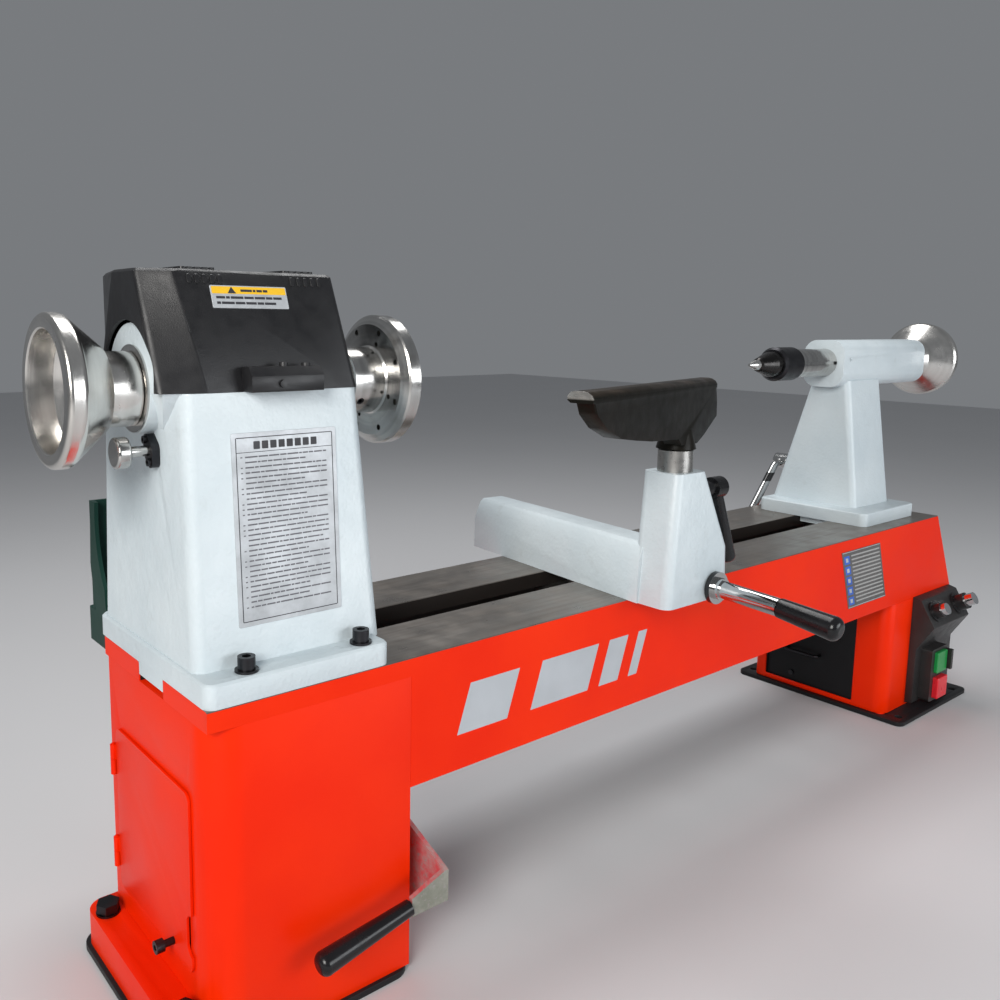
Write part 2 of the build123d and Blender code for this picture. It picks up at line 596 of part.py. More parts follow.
with BuildPart() as handwheel:
    hub_right, hub_left = HANDWHEEL_HUB
    with BuildSketch(SPINDLE_PLANE):
        with BuildLine():
            Polyline(
                (hub_right, NUT_THREAD_RADIUS),
                (hub_right, 37),
                (hub_right - 1, 38),
                (hub_left, 38),
                (hub_left, 43),
                (hub_left - 1, 44.5),
                (hub_left - 33, 72),
            )
            ThreePointArc((hub_left - 33, 72), (hub_left - 36, 74.4), (hub_left - 41, HANDWHEEL_RADIUS))
            Line((hub_left - 41, HANDWHEEL_RADIUS), (hub_left - 48, HANDWHEEL_RADIUS))
            ThreePointArc((hub_left - 48, HANDWHEEL_RADIUS), (hub_left - 51.5, 74), (hub_left - 53, 70.5))
            Polyline(
                (hub_left - 53, 70.5),
                (hub_left - 53, 61.5),
                (hub_left - 51.5, 60),
                (hub_left - 27, 56),
                (hub_left - 17, 46),
                (hub_left - 13, 30),
                (hub_left - 13, 24),
                (hub_left - 19, 22),
                (hub_left - 19, NUT_THREAD_RADIUS),
                (hub_right, NUT_THREAD_RADIUS),
            )
        make_face()
    revolve(axis=SPINDLE_AXIS)
handwheel.part.label = "handwheel"
export_step(handwheel.part, "parts/handwheel.step")

PULLEY_GROOVES = 6
GROOVE_PITCH = 2.6
PULLEY_STEPS = [(-50.0, 50.0), (-26.0, 36.0)]  # left end and radius of each step
STEP_WIDTH = 20.0
INDEX_RING = (-72.0, -62.0)  # left and right face
INDEX_RING_RADIUS = 72.0
INDEX_HOLES = 24
INDEX_CIRCLE = hypot(INDEX_PIN_POINT[0], INDEX_PIN_POINT[1] - SPINDLE_HEIGHT)
INDEX_PHASE = degrees(atan2(INDEX_PIN_POINT[1] - SPINDLE_HEIGHT, INDEX_PIN_POINT[0]))

with BuildPart() as spindle_pulley:
    with BuildSketch(facing_x(INDEX_RING[0], 0, SPINDLE_HEIGHT)):
        Circle(INDEX_RING_RADIUS)
        with PolarLocations(INDEX_CIRCLE, INDEX_HOLES, start_angle=INDEX_PHASE):
            Circle(INDEX_PIN_RADIUS + 0.4, mode=Mode.SUBTRACT)
    extrude(amount=INDEX_RING[1] - INDEX_RING[0])
    for left, radius in PULLEY_STEPS:
        with BuildSketch(facing_x(left, 0, SPINDLE_HEIGHT)):
            Circle(radius)
        extrude(amount=STEP_WIDTH)
        for number in range(PULLEY_GROOVES):
            groove = left + STEP_WIDTH / 2 + GROOVE_PITCH * (number - (PULLEY_GROOVES - 1) / 2)
            with BuildSketch(facing_x(groove - 0.6, 0, SPINDLE_HEIGHT)):
                Circle(radius)
                Circle(radius - 2, mode=Mode.SUBTRACT)
            extrude(amount=1.2, mode=Mode.SUBTRACT)
    with BuildSketch(facing_x(INDEX_RING[1], 0, SPINDLE_HEIGHT)):
        Circle(32)
    extrude(amount=PULLEY_STEPS[1][0] - INDEX_RING[1])
    with BuildSketch(facing_x(INDEX_RING[0], 0, SPINDLE_HEIGHT)):
        Circle(SHAFT_RADIUS)
    extrude(amount=PULLEY_STEPS[1][0] + STEP_WIDTH - INDEX_RING[0], mode=Mode.SUBTRACT)
spindle_pulley.part.label = "spindle_pulley"
export_step(spindle_pulley.part, "parts/spindle_pulley.step")

FACEPLATE_BACK, FACEPLATE_FRONT = 172.0, 195.0
FACEPLATE_RADIUS = 77.0
FACEPLATE_HUB = 39.0
FACEPLATE_BOLT_CIRCLE = 120.0
FACEPLATE_HOLES = 8
FACEPLATE_HOLE_RADIUS = 3.5
HUB_SCREW_X = 140.0
HUB_SCREW_RADIUS = 4.5
HUB_SCREW_PLANES = [
    Plane(
        origin=(
            HUB_SCREW_X,
            (FACEPLATE_HUB - 0.5) * cos(radians(angle)),
            SPINDLE_HEIGHT + (FACEPLATE_HUB - 0.5) * sin(radians(angle)),
        ),
        x_dir=(1, 0, 0),
        z_dir=(0, cos(radians(angle)), sin(radians(angle))),
    )
    for angle in (215, 305)
]
with BuildPart() as faceplate:
    revolve(
        turned(
            [
                (128, THREAD_RADIUS),
                (128, FACEPLATE_HUB - 1.5),
                (129.5, FACEPLATE_HUB),
                (FACEPLATE_BACK - 2, FACEPLATE_HUB),
                (FACEPLATE_BACK, FACEPLATE_HUB + 2),
                (FACEPLATE_BACK, 66),
                (FACEPLATE_BACK + 6, FACEPLATE_RADIUS - 2),
                (FACEPLATE_BACK + 8, FACEPLATE_RADIUS),
                (FACEPLATE_FRONT - 1, FACEPLATE_RADIUS),
                (FACEPLATE_FRONT, FACEPLATE_RADIUS - 1),
                (FACEPLATE_FRONT, 24),
                (FACEPLATE_FRONT - 20, 20),
                (SPINDLE_RIGHT, THREAD_RADIUS + 3),
                (SPINDLE_RIGHT, THREAD_RADIUS),
            ]
        ),
        axis=SPINDLE_AXIS,
    )
    for circle, count, radius in [(FACEPLATE_BOLT_CIRCLE, FACEPLATE_HOLES, FACEPLATE_HOLE_RADIUS), (92.0, 4, 3.0)]:
        with BuildSketch(facing_x(FACEPLATE_BACK - 1, 0, SPINDLE_HEIGHT)):
            with PolarLocations(circle / 2, count, start_angle=22.5):
                Circle(radius)
        extrude(amount=FACEPLATE_FRONT - FACEPLATE_BACK + 2, mode=Mode.SUBTRACT)
    for plane in HUB_SCREW_PLANES:
        with BuildSketch(plane):
            Circle(HUB_SCREW_RADIUS)
        extrude(amount=2, mode=Mode.SUBTRACT)
        with BuildSketch(plane):
            Circle(HUB_SCREW_RADIUS)
        extrude(amount=-8, mode=Mode.SUBTRACT)
faceplate.part.label = "faceplate"
export_step(faceplate.part, "parts/faceplate.step")

with BuildPart() as faceplate_screws:
    for plane in HUB_SCREW_PLANES:
        with BuildSketch(plane):
            Circle(HUB_SCREW_RADIUS)
        extrude(amount=-8)
        with BuildSketch(plane):
            RegularPolygon(2.8, 6)
        extrude(amount=-4, mode=Mode.SUBTRACT)
faceplate_screws.part.label = "faceplate_screws"
export_step(faceplate_screws.part, "parts/faceplate_screws.step")

# ---------------------------------------------------------------- belt lid
LID_BOTTOM = LID_SPLIT + SLIDE_GAP
LID_TOP = 799.0
LID_WALL = 4.0
LID_TOP_X, LID_TOP_Y = (-92.0, 94.0), (-45.0, 134.0)
LID_BASE_X, LID_BASE_Y = (-76.0, 99.5), (-88.5, 130.0)  # the left end is where the nose begins
LID_NOSE = -123.0  # left face of the nose that covers the arch
LID_NOSE_TOP, LID_NOSE_BASE = (-26.0, 30.0), (-76.0, 78.0)
LID_ARCH_RADIUS = 69.0
LID_HINGE_Y, LID_HINGE_Z = 141.0, LID_SPLIT - 7
LID_HINGE_RADIUS = 6.0
LID_PIN = 2.5
LID_KNUCKLES = [-60.0, 50.0]
LID_KNUCKLE_LENGTH = 22.0


def lid_plan(z, x_range, y_range, nose, inset=0.0):
    """The lid's outline at a level: a rounded rectangle with a nose that narrows to the left."""
    with BuildSketch(Plane.XY.offset(z)) as plan:
        with BuildLine():
            Polyline(
                (LID_NOSE, nose[0]),
                (x_range[0], y_range[0]),
                (x_range[1], y_range[0]),
                (x_range[1], y_range[1]),
                (-96, y_range[1]),
                (LID_NOSE, nose[1]),
                close=True,
            )
        make_face()
        if inset:
            offset(amount=-inset, kind=Kind.INTERSECTION)
        fillet(plan.vertices(), radius=8 - inset)
    return plan.sketch


with BuildPart() as lid:
    loft(
        [
            lid_plan(LID_BOTTOM, LID_BASE_X, LID_BASE_Y, LID_NOSE_BASE),
            lid_plan(LID_TOP, LID_TOP_X, LID_TOP_Y, LID_NOSE_TOP),
        ],
        ruled=True,
    )
    chamfer(lid.faces().sort_by(Axis.Z)[-1].edges(), length=3)
    loft(
        [
            lid_plan(LID_BOTTOM, LID_BASE_X, LID_BASE_Y, LID_NOSE_BASE, LID_WALL),
            lid_plan(LID_TOP - LID_WALL, LID_TOP_X, LID_TOP_Y, LID_NOSE_TOP, LID_WALL),
        ],
        ruled=True,
        mode=Mode.SUBTRACT,
    )
    for x, depth, radius in [(-140.0, 32.0, LID_ARCH_RADIUS), (130.0, -90.0, RIGHT_BOSS_RADIUS + 4)]:
        with BuildSketch(facing_x(x, 0, SPINDLE_HEIGHT)):
            Circle(radius)
        extrude(amount=depth, mode=Mode.SUBTRACT)
    for left in (-78.0, 38.0):
        extrude(rounded_plan(LID_TOP - 1, (left, left + 38), (-34, 126), 3), amount=4)
        for number in range(4):
            with Locations((left + 6.5 + 8.3 * number, 46, LID_TOP + 3)):
                Box(3.4, 170, 3, mode=Mode.SUBTRACT)
    for left in LID_KNUCKLES:
        with BuildSketch(facing_x(left, LID_HINGE_Y, LID_HINGE_Z)):
            Circle(LID_HINGE_RADIUS)
            with Locations((-4.5, 8)):
                Rectangle(4, 16)
            with Locations((-7.5, 14.5)):
                Rectangle(9, 13)
            Circle(LID_PIN + RUNNING_GAP, mode=Mode.SUBTRACT)
        extrude(amount=LID_KNUCKLE_LENGTH)
lid.part.label = "lid"
export_step(lid.part, "parts/lid.step")

with BuildPart() as lid_hinge:
    for left in LID_KNUCKLES:
        base_left = left - LID_KNUCKLE_LENGTH - FACE_GAP
        with BuildSketch(facing_x(base_left, LID_HINGE_Y, LID_HINGE_Z)):
            Circle(LID_HINGE_RADIUS)
            with Locations((-4.3, -12)):
                Rectangle(5, 28)
        extrude(amount=LID_KNUCKLE_LENGTH)
        with BuildSketch(facing_x(base_left, LID_HINGE_Y, LID_HINGE_Z)):
            Circle(LID_PIN)
        extrude(amount=2 * LID_KNUCKLE_LENGTH + 2)
lid_hinge.part.label = "lid_hinge"
export_step(lid_hinge.part, "parts/lid_hinge.step")

LATCH_X = (-38.0, 44.0)
LATCH_FRONT = -106.0
LATCH_TOP = 704.0
with BuildPart() as lid_latch:
    with BuildSketch(facing_x(LATCH_X[0], 0, 0)):
        with BuildLine():
            Polyline(
                (LID_BASE_Y[0] + 4, LID_BOTTOM),
                (LATCH_FRONT, LID_BOTTOM),
                (LATCH_FRONT, LATCH_TOP - 9),
                (LATCH_FRONT + 7, LATCH_TOP),
                (LID_BASE_Y[0] + 4, LATCH_TOP),
                close=True,
            )
        make_face()
    extrude(amount=LATCH_X[1] - LATCH_X[0])
    for x, z, radius, height in [(4.0, LATCH_TOP, 4.5, 4.0), (30.0, LATCH_TOP, 4.5, 3.0)]:
        with BuildSketch(Plane.XY.offset(z)):
            with Locations((x, (LATCH_FRONT + LID_BASE_Y[0]) / 2 + 4)):
                Circle(radius)
        extrude(amount=height)
    with BuildSketch(Plane.XZ.offset(-LATCH_FRONT)):
        with Locations((-4, LID_BOTTOM + 8)):
            Circle(4)
    extrude(amount=3)
    loft(
        [
            rounded_plan(LID_BOTTOM, LID_BASE_X, LID_BASE_Y, 12),
            rounded_plan(LID_TOP, LID_BASE_X, LID_TOP_Y, 12),
        ],
        mode=Mode.SUBTRACT,
    )
lid_latch.part.label = "lid_latch"
export_step(lid_latch.part, "parts/lid_latch.step")

# ---------------------------------------------------------------- information plates
PLATE_SHEET = 0.8


def leaning_plane(low, high, x=0.0):
    """A plane lying on a face that leans back from (y, z) low to (y, z) high, normal to the operator."""
    rise = hypot(high[0] - low[0], high[1] - low[1])
    up = ((high[0] - low[0]) / rise, (high[1] - low[1]) / rise)
    return Plane(origin=(x, low[0], low[1]), x_dir=(1, 0, 0), z_dir=(0, -up[1], up[0]))


COLUMN_FRONT = leaning_plane((COLUMN_BASE_Y[0], BED_TOP + FOOT_THICKNESS - 4), (COLUMN_TOP_Y[0], LID_SPLIT))
LID_FRONT = leaning_plane((LID_BASE_Y[0], LID_BOTTOM), (LID_TOP_Y[0], LID_TOP))
WARNING_PLATE = (122.0, 196.0)
WARNING_CENTRE = (6.0, 140.0)  # x, distance up the front
LID_PLATE = (86.0, 24.0)
LID_PLATE_CENTRE = (-12.0, 99.0)

with BuildPart() as information_plates:
    with BuildSketch(COLUMN_FRONT):
        with Locations(WARNING_CENTRE):
            RectangleRounded(*WARNING_PLATE, 2)
    extrude(amount=PLATE_SHEET)
    plate_low, plate_high, plate_lean, plate_left, plate_width = 252.0, 359.0, 38.0, 1076.0, 136.0
    extrude(
        outline(
            Plane.XZ.offset(BED_HALF_WIDTH),
            [
                (plate_left, plate_high),
                (plate_left + plate_width, plate_high),
                (plate_left + plate_width + plate_lean, plate_low),
                (plate_left + plate_lean, plate_low),
            ],
        ),
        amount=PLATE_SHEET,
    )
information_plates.part.label = "information_plates"
export_step(information_plates.part, "parts/information_plates.step")

with BuildPart() as lid_plate:
    with BuildSketch(LID_FRONT):
        with Locations(LID_PLATE_CENTRE):
            RectangleRounded(*LID_PLATE, 1)
    extrude(amount=PLATE_SHEET)
lid_plate.part.label = "lid_plate"
export_step(lid_plate.part, "parts/lid_plate.step")

# ---------------------------------------------------------------- rear bracket and guard
with BuildPart() as outboard_bracket:
    with BuildSketch(Plane.XY.offset(BED_TOP - 43)):
        with Locations((0, (BED_HALF_WIDTH + 266) / 2)):
            RectangleRounded(168, 266 - BED_HALF_WIDTH, 6)
    extrude(amount=43)
    with BuildSketch(Plane.XY.offset(BED_TOP)):
        with Locations((-40, 210), (40, 210)):
            SlotOverall(60, 13, rotation=90)
    extrude(amount=-43, mode=Mode.SUBTRACT)
outboard_bracket.part.label = "outboard_bracket"
export_step(outboard_bracket.part, "parts/outboard_bracket.step")

GUARD_THICKNESS = 5.0
with BuildPart() as rear_guard:
    with BuildSketch(facing_x(-84)):
        with BuildLine():
            Polyline((240, BED_TOP), (200, BED_TOP), (204, BED_TOP + 35))
            ThreePointArc((204, BED_TOP + 35), (222, BED_TOP + 70), (228, BED_TOP + 142))
            Polyline((228, BED_TOP + 142), (245, BED_TOP + 142), (252, BED_TOP + 60), (240, BED_TOP))
        make_face()
    extrude(amount=GUARD_THICKNESS)
    with BuildSketch(Plane.XY.offset(BED_TOP)):
        with Locations((0, 245)):
            Rectangle(168, GUARD_THICKNESS)
    extrude(amount=142)
rear_guard.part.label = "rear_guard"
export_step(rear_guard.part, "parts/rear_guard.step")

# ---------------------------------------------------------------- motor, cradle and tension lever
MOTOR_HEIGHT = 150.0
MOTOR_RADIUS = 68.0
MOTOR_X = (2.0, 114.0)
MOTOR_SHAFT = 9.5
MOTOR_PULLEY_STEPS = [(-50.0, 26.0), (-30.0, 36.0)]
CRADLE_Z = (224.0, 230.0)
LEVER_X = 161.0
LEVER_SHEET = 6.0
LEVER_FRONT = -170.0
MOTOR_PLANE = facing_x(0, 0, MOTOR_HEIGHT)

with BuildPart() as motor_cradle:
    with BuildSketch(Plane.XY.offset(CRADLE_Z[0])):
        with Locations((50, 15)):
            Rectangle(132, 158)
    extrude(amount=CRADLE_Z[1] - CRADLE_Z[0])
    for rib_x in (-16.0, 110.0):
        with BuildSketch(facing_x(rib_x)):
            with BuildLine():
                Polyline(
                    (MOTOR_PIVOT[0] + 16, MOTOR_PIVOT[1] + 4),
                    (MOTOR_PIVOT[0] + 4, MOTOR_PIVOT[1] + 16),
                    (MOTOR_PIVOT[0] - 14, MOTOR_PIVOT[1] + 12),
                    (30, CRADLE_Z[1]),
                    (94, CRADLE_Z[0]),
                    (MOTOR_PIVOT[0] + 10, CRADLE_Z[1] + 4),
                    close=True,
                )
            make_face()
        extrude(amount=6)
    with BuildSketch(facing_x(-20, *MOTOR_PIVOT)):
        Circle(PIVOT_RADIUS)
    extrude(amount=LEVER_X + 20)
motor_cradle.part.label = "motor_cradle"
export_step(motor_cradle.part, "parts/motor_cradle.step")

with BuildPart() as motor_body:
    with BuildSketch(facing_x(MOTOR_X[0], 0, MOTOR_HEIGHT)):
        Circle(MOTOR_RADIUS)
        with PolarLocations(MOTOR_RADIUS, 36):
            Rectangle(6, 2.4, mode=Mode.SUBTRACT)
    extrude(amount=MOTOR_X[1] - MOTOR_X[0])
    for end_x, depth in [(MOTOR_X[0], -8.0), (MOTOR_X[1], 8.0)]:
        with BuildSketch(facing_x(end_x, 0, MOTOR_HEIGHT)):
            Circle(MOTOR_RADIUS - 3)
        extrude(amount=depth, taper=15)
    with Locations((50, 0, (MOTOR_HEIGHT + MOTOR_RADIUS - 6 + CRADLE_Z[0]) / 2)):
        Box(90, 70, CRADLE_Z[0] - MOTOR_HEIGHT - MOTOR_RADIUS + 6)
    with BuildSketch(facing_x(MOTOR_X[0] - 10, 0, MOTOR_HEIGHT)):
        Circle(MOTOR_SHAFT + RUNNING_GAP)
    extrude(amount=60, mode=Mode.SUBTRACT)
motor_body.part.label = "motor_body"
export_step(motor_body.part, "parts/motor_body.step")

with BuildPart() as motor_pulley:
    with BuildSketch(facing_x(-52, 0, MOTOR_HEIGHT)):
        Circle(MOTOR_SHAFT)
    extrude(amount=80)
    for left, radius in MOTOR_PULLEY_STEPS:
        with BuildSketch(facing_x(left, 0, MOTOR_HEIGHT)):
            Circle(radius)
        extrude(amount=STEP_WIDTH)
motor_pulley.part.label = "motor_pulley"
export_step(motor_pulley.part, "parts/motor_pulley.step")

BELT_THICKNESS = 4.0
BELT_STANDOFF = 0.3
BELT_X = PULLEY_STEPS[0][0] + 2
BELT_WIDTH = STEP_WIDTH - 4


def belt_loop(standoff):
    """The outline of the belt round the two pulleys, standing off their rims."""
    with BuildSketch(facing_x(BELT_X, 0, 0)) as loop:
        with Locations((0, SPINDLE_HEIGHT)):
            Circle(PULLEY_STEPS[0][1] + standoff)
        with Locations((0, MOTOR_HEIGHT)):
            Circle(MOTOR_PULLEY_STEPS[0][1] + standoff)
        make_hull()
    return loop.sketch


with BuildPart() as drive_belt:
    extrude(belt_loop(BELT_STANDOFF + BELT_THICKNESS), amount=BELT_WIDTH)
    extrude(belt_loop(BELT_STANDOFF), amount=BELT_WIDTH, mode=Mode.SUBTRACT)
drive_belt.part.label = "drive_belt"
export_step(drive_belt.part, "parts/drive_belt.step")

LEVER_BAR_LEFT = 115.0
with BuildPart() as tension_lever:
    extrude(
        outline(
            facing_x(LEVER_X),
            [
                (MOTOR_PIVOT[0] + 11, MOTOR_PIVOT[1] + 14),
                (MOTOR_PIVOT[0] - 14, MOTOR_PIVOT[1] + 14),
                (-98, 161),
                (LEVER_FRONT, 132),
                (LEVER_FRONT, 94),
                (-98, 64),
                (MOTOR_PIVOT[0] + 11, MOTOR_PIVOT[1] - 24),
            ],
        ),
        amount=LEVER_SHEET,
    )
    extrude(
        outline(
            Plane.XZ.offset(-LEVER_FRONT - LEVER_SHEET),
            [
                (LEVER_X + LEVER_SHEET, 132),
                (LEVER_X, 132),
                (LEVER_BAR_LEFT, 116),
                (LEVER_BAR_LEFT, 94),
                (LEVER_X + LEVER_SHEET, 94),
            ],
        ),
        amount=LEVER_SHEET,
    )
    with BuildSketch(facing_x(LEVER_X, *MOTOR_PIVOT)):
        Circle(PIVOT_RADIUS)
    extrude(amount=LEVER_SHEET, mode=Mode.SUBTRACT)
    with BuildSketch(facing_x(LEVER_X + LEVER_SHEET, *MOTOR_PIVOT)):
        RegularPolygon(14, 6)
    extrude(amount=8)
tension_lever.part.label = "tension_lever"
export_step(tension_lever.part, "parts/tension_lever.step")


def along(start, end, offset=0.0):
    """A plane at a distance along the line from start to end, facing along it."""
    line = Vector(*end) - Vector(*start)
    return Plane(origin=Vector(*start) + line.normalized() * offset, z_dir=line)


def grip_ends(start, end, start_radius, end_radius):
    """The two end faces of a moulded handle grip, small end first."""
    with BuildSketch(along(start, end)) as first:
        Circle(start_radius)
    with BuildSketch(along(start, end, (Vector(*end) - Vector(*start)).length)) as last:
        Circle(end_radius)
    return [first.sketch, last.sketch]


def far_edge(grip, start, end):
    """The round edge at the far end of a grip."""
    line = Axis(start, Vector(*end) - Vector(*start))
    return grip.edges().filter_by(GeomType.CIRCLE).sort_by(line)[-1]


GRIP_START, GRIP_END = (LEVER_BAR_LEFT - 1.5, -167.0, 105.0), (-6.0, -167.0, 86.0)
with BuildPart() as tension_grip:
    loft(grip_ends(GRIP_START, GRIP_END, 9, 13.5))
    fillet(far_edge(tension_grip, GRIP_START, GRIP_END), radius=9)
tension_grip.part.label = "tension_grip"
export_step(tension_grip.part, "parts/tension_grip.step")

# ---------------------------------------------------------------- banjo
CLAMP_BOLT = 10.0
CLAMP_PLATE = 14.0
CLAMP_TOP = WAY_BOTTOM - SLIDE_GAP
BANJO_X = 549.0
BANJO_YAW = -5.6
ARM_DIRECTION = (-sin(radians(BANJO_YAW)), cos(radians(BANJO_YAW)), 0)
ARM_ACROSS = (cos(radians(BANJO_YAW)), sin(radians(BANJO_YAW)), 0)
ARM_REAR, ARM_FRONT = 210.0, -160.0
ARM_BOTTOM, ARM_TOP = BED_TOP + SLIDE_GAP, 461.0
ARM_CHANNEL = (34.0, 50.0)  # width, height
ARM_CHANNEL_ENDS = (-118.0, 190.0)
BLOCK_LENGTH = 64.0
BLOCK_TOP = ARM_BOTTOM + 31
STEM = (550.0, -170.0)
STEM_RADIUS = 23.0
STEM_BOTTOM, STEM_TOP = 424.0, 587.0
POST_TOP = 557.0


def arm_plane(distance):
    """A plane across the banjo arm, facing the operator, with its own y as the height."""
    origin = (BANJO_X + ARM_DIRECTION[0] * distance, ARM_DIRECTION[1] * distance, 0)
    return Plane(origin=origin, x_dir=ARM_ACROSS, z_dir=(-ARM_DIRECTION[0], -ARM_DIRECTION[1], 0))


def clamp_plate(x, length, width):
    """The bar that grips the ways from below, with rounded ends."""
    with BuildSketch(Plane.XY.offset(CLAMP_TOP)) as plate:
        with Locations((x, 0)):
            RectangleRounded(length, width, 8)
    return plate.sketch


with BuildPart() as banjo_clamp:
    extrude(clamp_plate(BANJO_X, 60, 110), amount=-CLAMP_PLATE)
    with BuildSketch(Plane.XY.offset(CLAMP_TOP - CLAMP_PLATE)):
        with Locations((BANJO_X, 0)):
            RegularPolygon(17, 6)
    extrude(amount=-16)
    with BuildSketch(Plane.XY.offset(CLAMP_TOP)):
        with Locations((BANJO_X, 0)):
            Circle(CLAMP_BOLT)
    extrude(amount=BLOCK_TOP + SLIDE_GAP - CLAMP_TOP)
    with BuildSketch(Plane.XY.offset(BLOCK_TOP + SLIDE_GAP)):
        with Locations((BANJO_X, 0)):
            Circle(15)
    extrude(amount=10)
banjo_clamp.part.label = "banjo_clamp"
export_step(banjo_clamp.part, "parts/banjo_clamp.step")

with BuildPart() as banjo_slide_block:
    with BuildSketch(Plane(origin=(BANJO_X, 0, ARM_BOTTOM), x_dir=ARM_ACROSS, z_dir=(0, 0, 1))):
        Rectangle(ARM_CHANNEL[0] - 2 * SLIDE_GAP, BLOCK_LENGTH)
        Circle(CLAMP_BOLT + RUNNING_GAP, mode=Mode.SUBTRACT)
    extrude(amount=BLOCK_TOP - ARM_BOTTOM)
banjo_slide_block.part.label = "banjo_slide_block"
export_step(banjo_slide_block.part, "parts/banjo_slide_block.step")

BANJO_LEVER = (604.0, -203.0, 396.0)
BANJO_SHAFT = 9.0
BANJO_SHAFT_DEPTH = 60.0
POST_LEVER_Z = 525.0
POST_LEVER_HOLE = 6.0
POST_RIGHT_AT_LEVER = 606.0  # face of the lever's boss on the post
with BuildPart() as banjo_casting:
    arm_outline = outline(
        arm_plane(ARM_REAR),
        [
            (-33, ARM_BOTTOM),
            (33, ARM_BOTTOM),
            (33, ARM_TOP - 24),
            (25, ARM_TOP - 5),
            (19, ARM_TOP),
            (-19, ARM_TOP),
            (-25, ARM_TOP - 5),
            (-33, ARM_TOP - 24),
        ],
    )
    extrude(arm_outline, amount=ARM_REAR - ARM_FRONT)
    chamfer(banjo_casting.faces().sort_by(Axis.Y)[-1].edges().sort_by(Axis.Z)[-5:], length=4)
    with BuildSketch(arm_plane(ARM_CHANNEL_ENDS[1])):
        with Locations((0, ARM_BOTTOM + ARM_CHANNEL[1] / 2 - 1)):
            Rectangle(ARM_CHANNEL[0], ARM_CHANNEL[1] + 2)
    extrude(amount=ARM_CHANNEL_ENDS[1] - ARM_CHANNEL_ENDS[0], mode=Mode.SUBTRACT)
    loft(
        [
            rounded_plan(ARM_BOTTOM, (503, 640), (-203, -143), 14),
            rounded_plan(449, (508, 636), (-202, -141), 13),
        ],
        ruled=True,
    )
    loft(
        [
            rounded_plan(449, (508, 636), (-202, -141), 13),
            rounded_plan(POST_TOP, (519, 583), (-199, -140), 12),
        ],
        ruled=True,
    )
    with BuildSketch(Plane.XY.offset(POST_TOP)):
        with Locations(STEM):
            Circle(STEM_RADIUS + RUNNING_GAP)
    extrude(amount=STEM_BOTTOM - 24 - POST_TOP, mode=Mode.SUBTRACT)
    with BuildSketch(Plane.XZ.offset(-BANJO_LEVER[1])):
        with Locations((BANJO_LEVER[0], BANJO_LEVER[2])):
            Circle(BANJO_SHAFT + RUNNING_GAP)
    extrude(amount=-BANJO_SHAFT_DEPTH + 8, mode=Mode.SUBTRACT)
    with BuildSketch(facing_x(POST_RIGHT_AT_LEVER, STEM[1], POST_LEVER_Z)):
        Circle(14)
    extrude(amount=-24)
    with BuildSketch(facing_x(POST_RIGHT_AT_LEVER, STEM[1], POST_LEVER_Z)):
        Circle(POST_LEVER_HOLE + RUNNING_GAP)
    extrude(amount=-40, mode=Mode.SUBTRACT)
banjo_casting.part.label = "banjo_casting"
export_step(banjo_casting.part, "parts/banjo_casting.step")

LEVER_ROD = 12.0
BANJO_ROD_END = (604.5, -300.0, 391.5)
BANJO_GRIP_START = (604.5, -301.5, 391.4)
BANJO_GRIP_END = (606.0, -382.0, 382.0)
with BuildPart() as banjo_lever:
    with BuildSketch(Plane.XZ.offset(-BANJO_LEVER[1] - BANJO_SHAFT_DEPTH + 10)):
        with Locations((BANJO_LEVER[0], BANJO_LEVER[2])):
            Circle(BANJO_SHAFT)
    extrude(amount=BANJO_SHAFT_DEPTH - 8)
    with BuildSketch(Plane.XZ.offset(-BANJO_LEVER[1] + FACE_GAP)):
        with Locations((BANJO_LEVER[0], BANJO_LEVER[2])):
            Circle(22)
    extrude(amount=7)
    hub_face = (BANJO_LEVER[0], BANJO_LEVER[1] - 6, BANJO_LEVER[2])
    with BuildSketch(along(hub_face, BANJO_ROD_END)):
        Circle(LEVER_ROD + 3)
    extrude(amount=9)
    with BuildSketch(along(hub_face, BANJO_ROD_END)):
        Circle(LEVER_ROD)
    extrude(amount=(Vector(*BANJO_ROD_END) - Vector(*hub_face)).length)
banjo_lever.part.label = "banjo_lever"
export_step(banjo_lever.part, "parts/banjo_lever.step")

with BuildPart() as banjo_grip:
    loft(grip_ends(BANJO_GRIP_START, BANJO_GRIP_END, LEVER_ROD + 1, 16))
    fillet(far_edge(banjo_grip, BANJO_GRIP_START, BANJO_GRIP_END), radius=10)
banjo_grip.part.label = "banjo_grip"
export_step(banjo_grip.part, "parts/banjo_grip.step")

POST_LEVER_HUB = (POST_RIGHT_AT_LEVER + FACE_GAP, STEM[1], POST_LEVER_Z)
POST_LEVER_END = (684.0, STEM[1], 414.0)
with BuildPart() as tool_post_lever:
    with BuildSketch(facing_x(POST_LEVER_HUB[0], STEM[1], POST_LEVER_Z)):
        Circle(POST_LEVER_HOLE)
    extrude(amount=-33)
    with BuildSketch(facing_x(*POST_LEVER_HUB)):
        Circle(11)
    extrude(amount=26)
    with BuildSketch(facing_x(POST_LEVER_HUB[0] + 26, STEM[1], POST_LEVER_Z)):
        Circle(15)
    extrude(amount=22)
    lever_start = (POST_LEVER_HUB[0] + 38, STEM[1], POST_LEVER_Z)
    loft(grip_ends(lever_start, POST_LEVER_END, 8, 12))
    fillet(far_edge(tool_post_lever, lever_start, POST_LEVER_END), radius=8)
tool_post_lever.part.label = "tool_post_lever"
export_step(tool_post_lever.part, "parts/tool_post_lever.step")

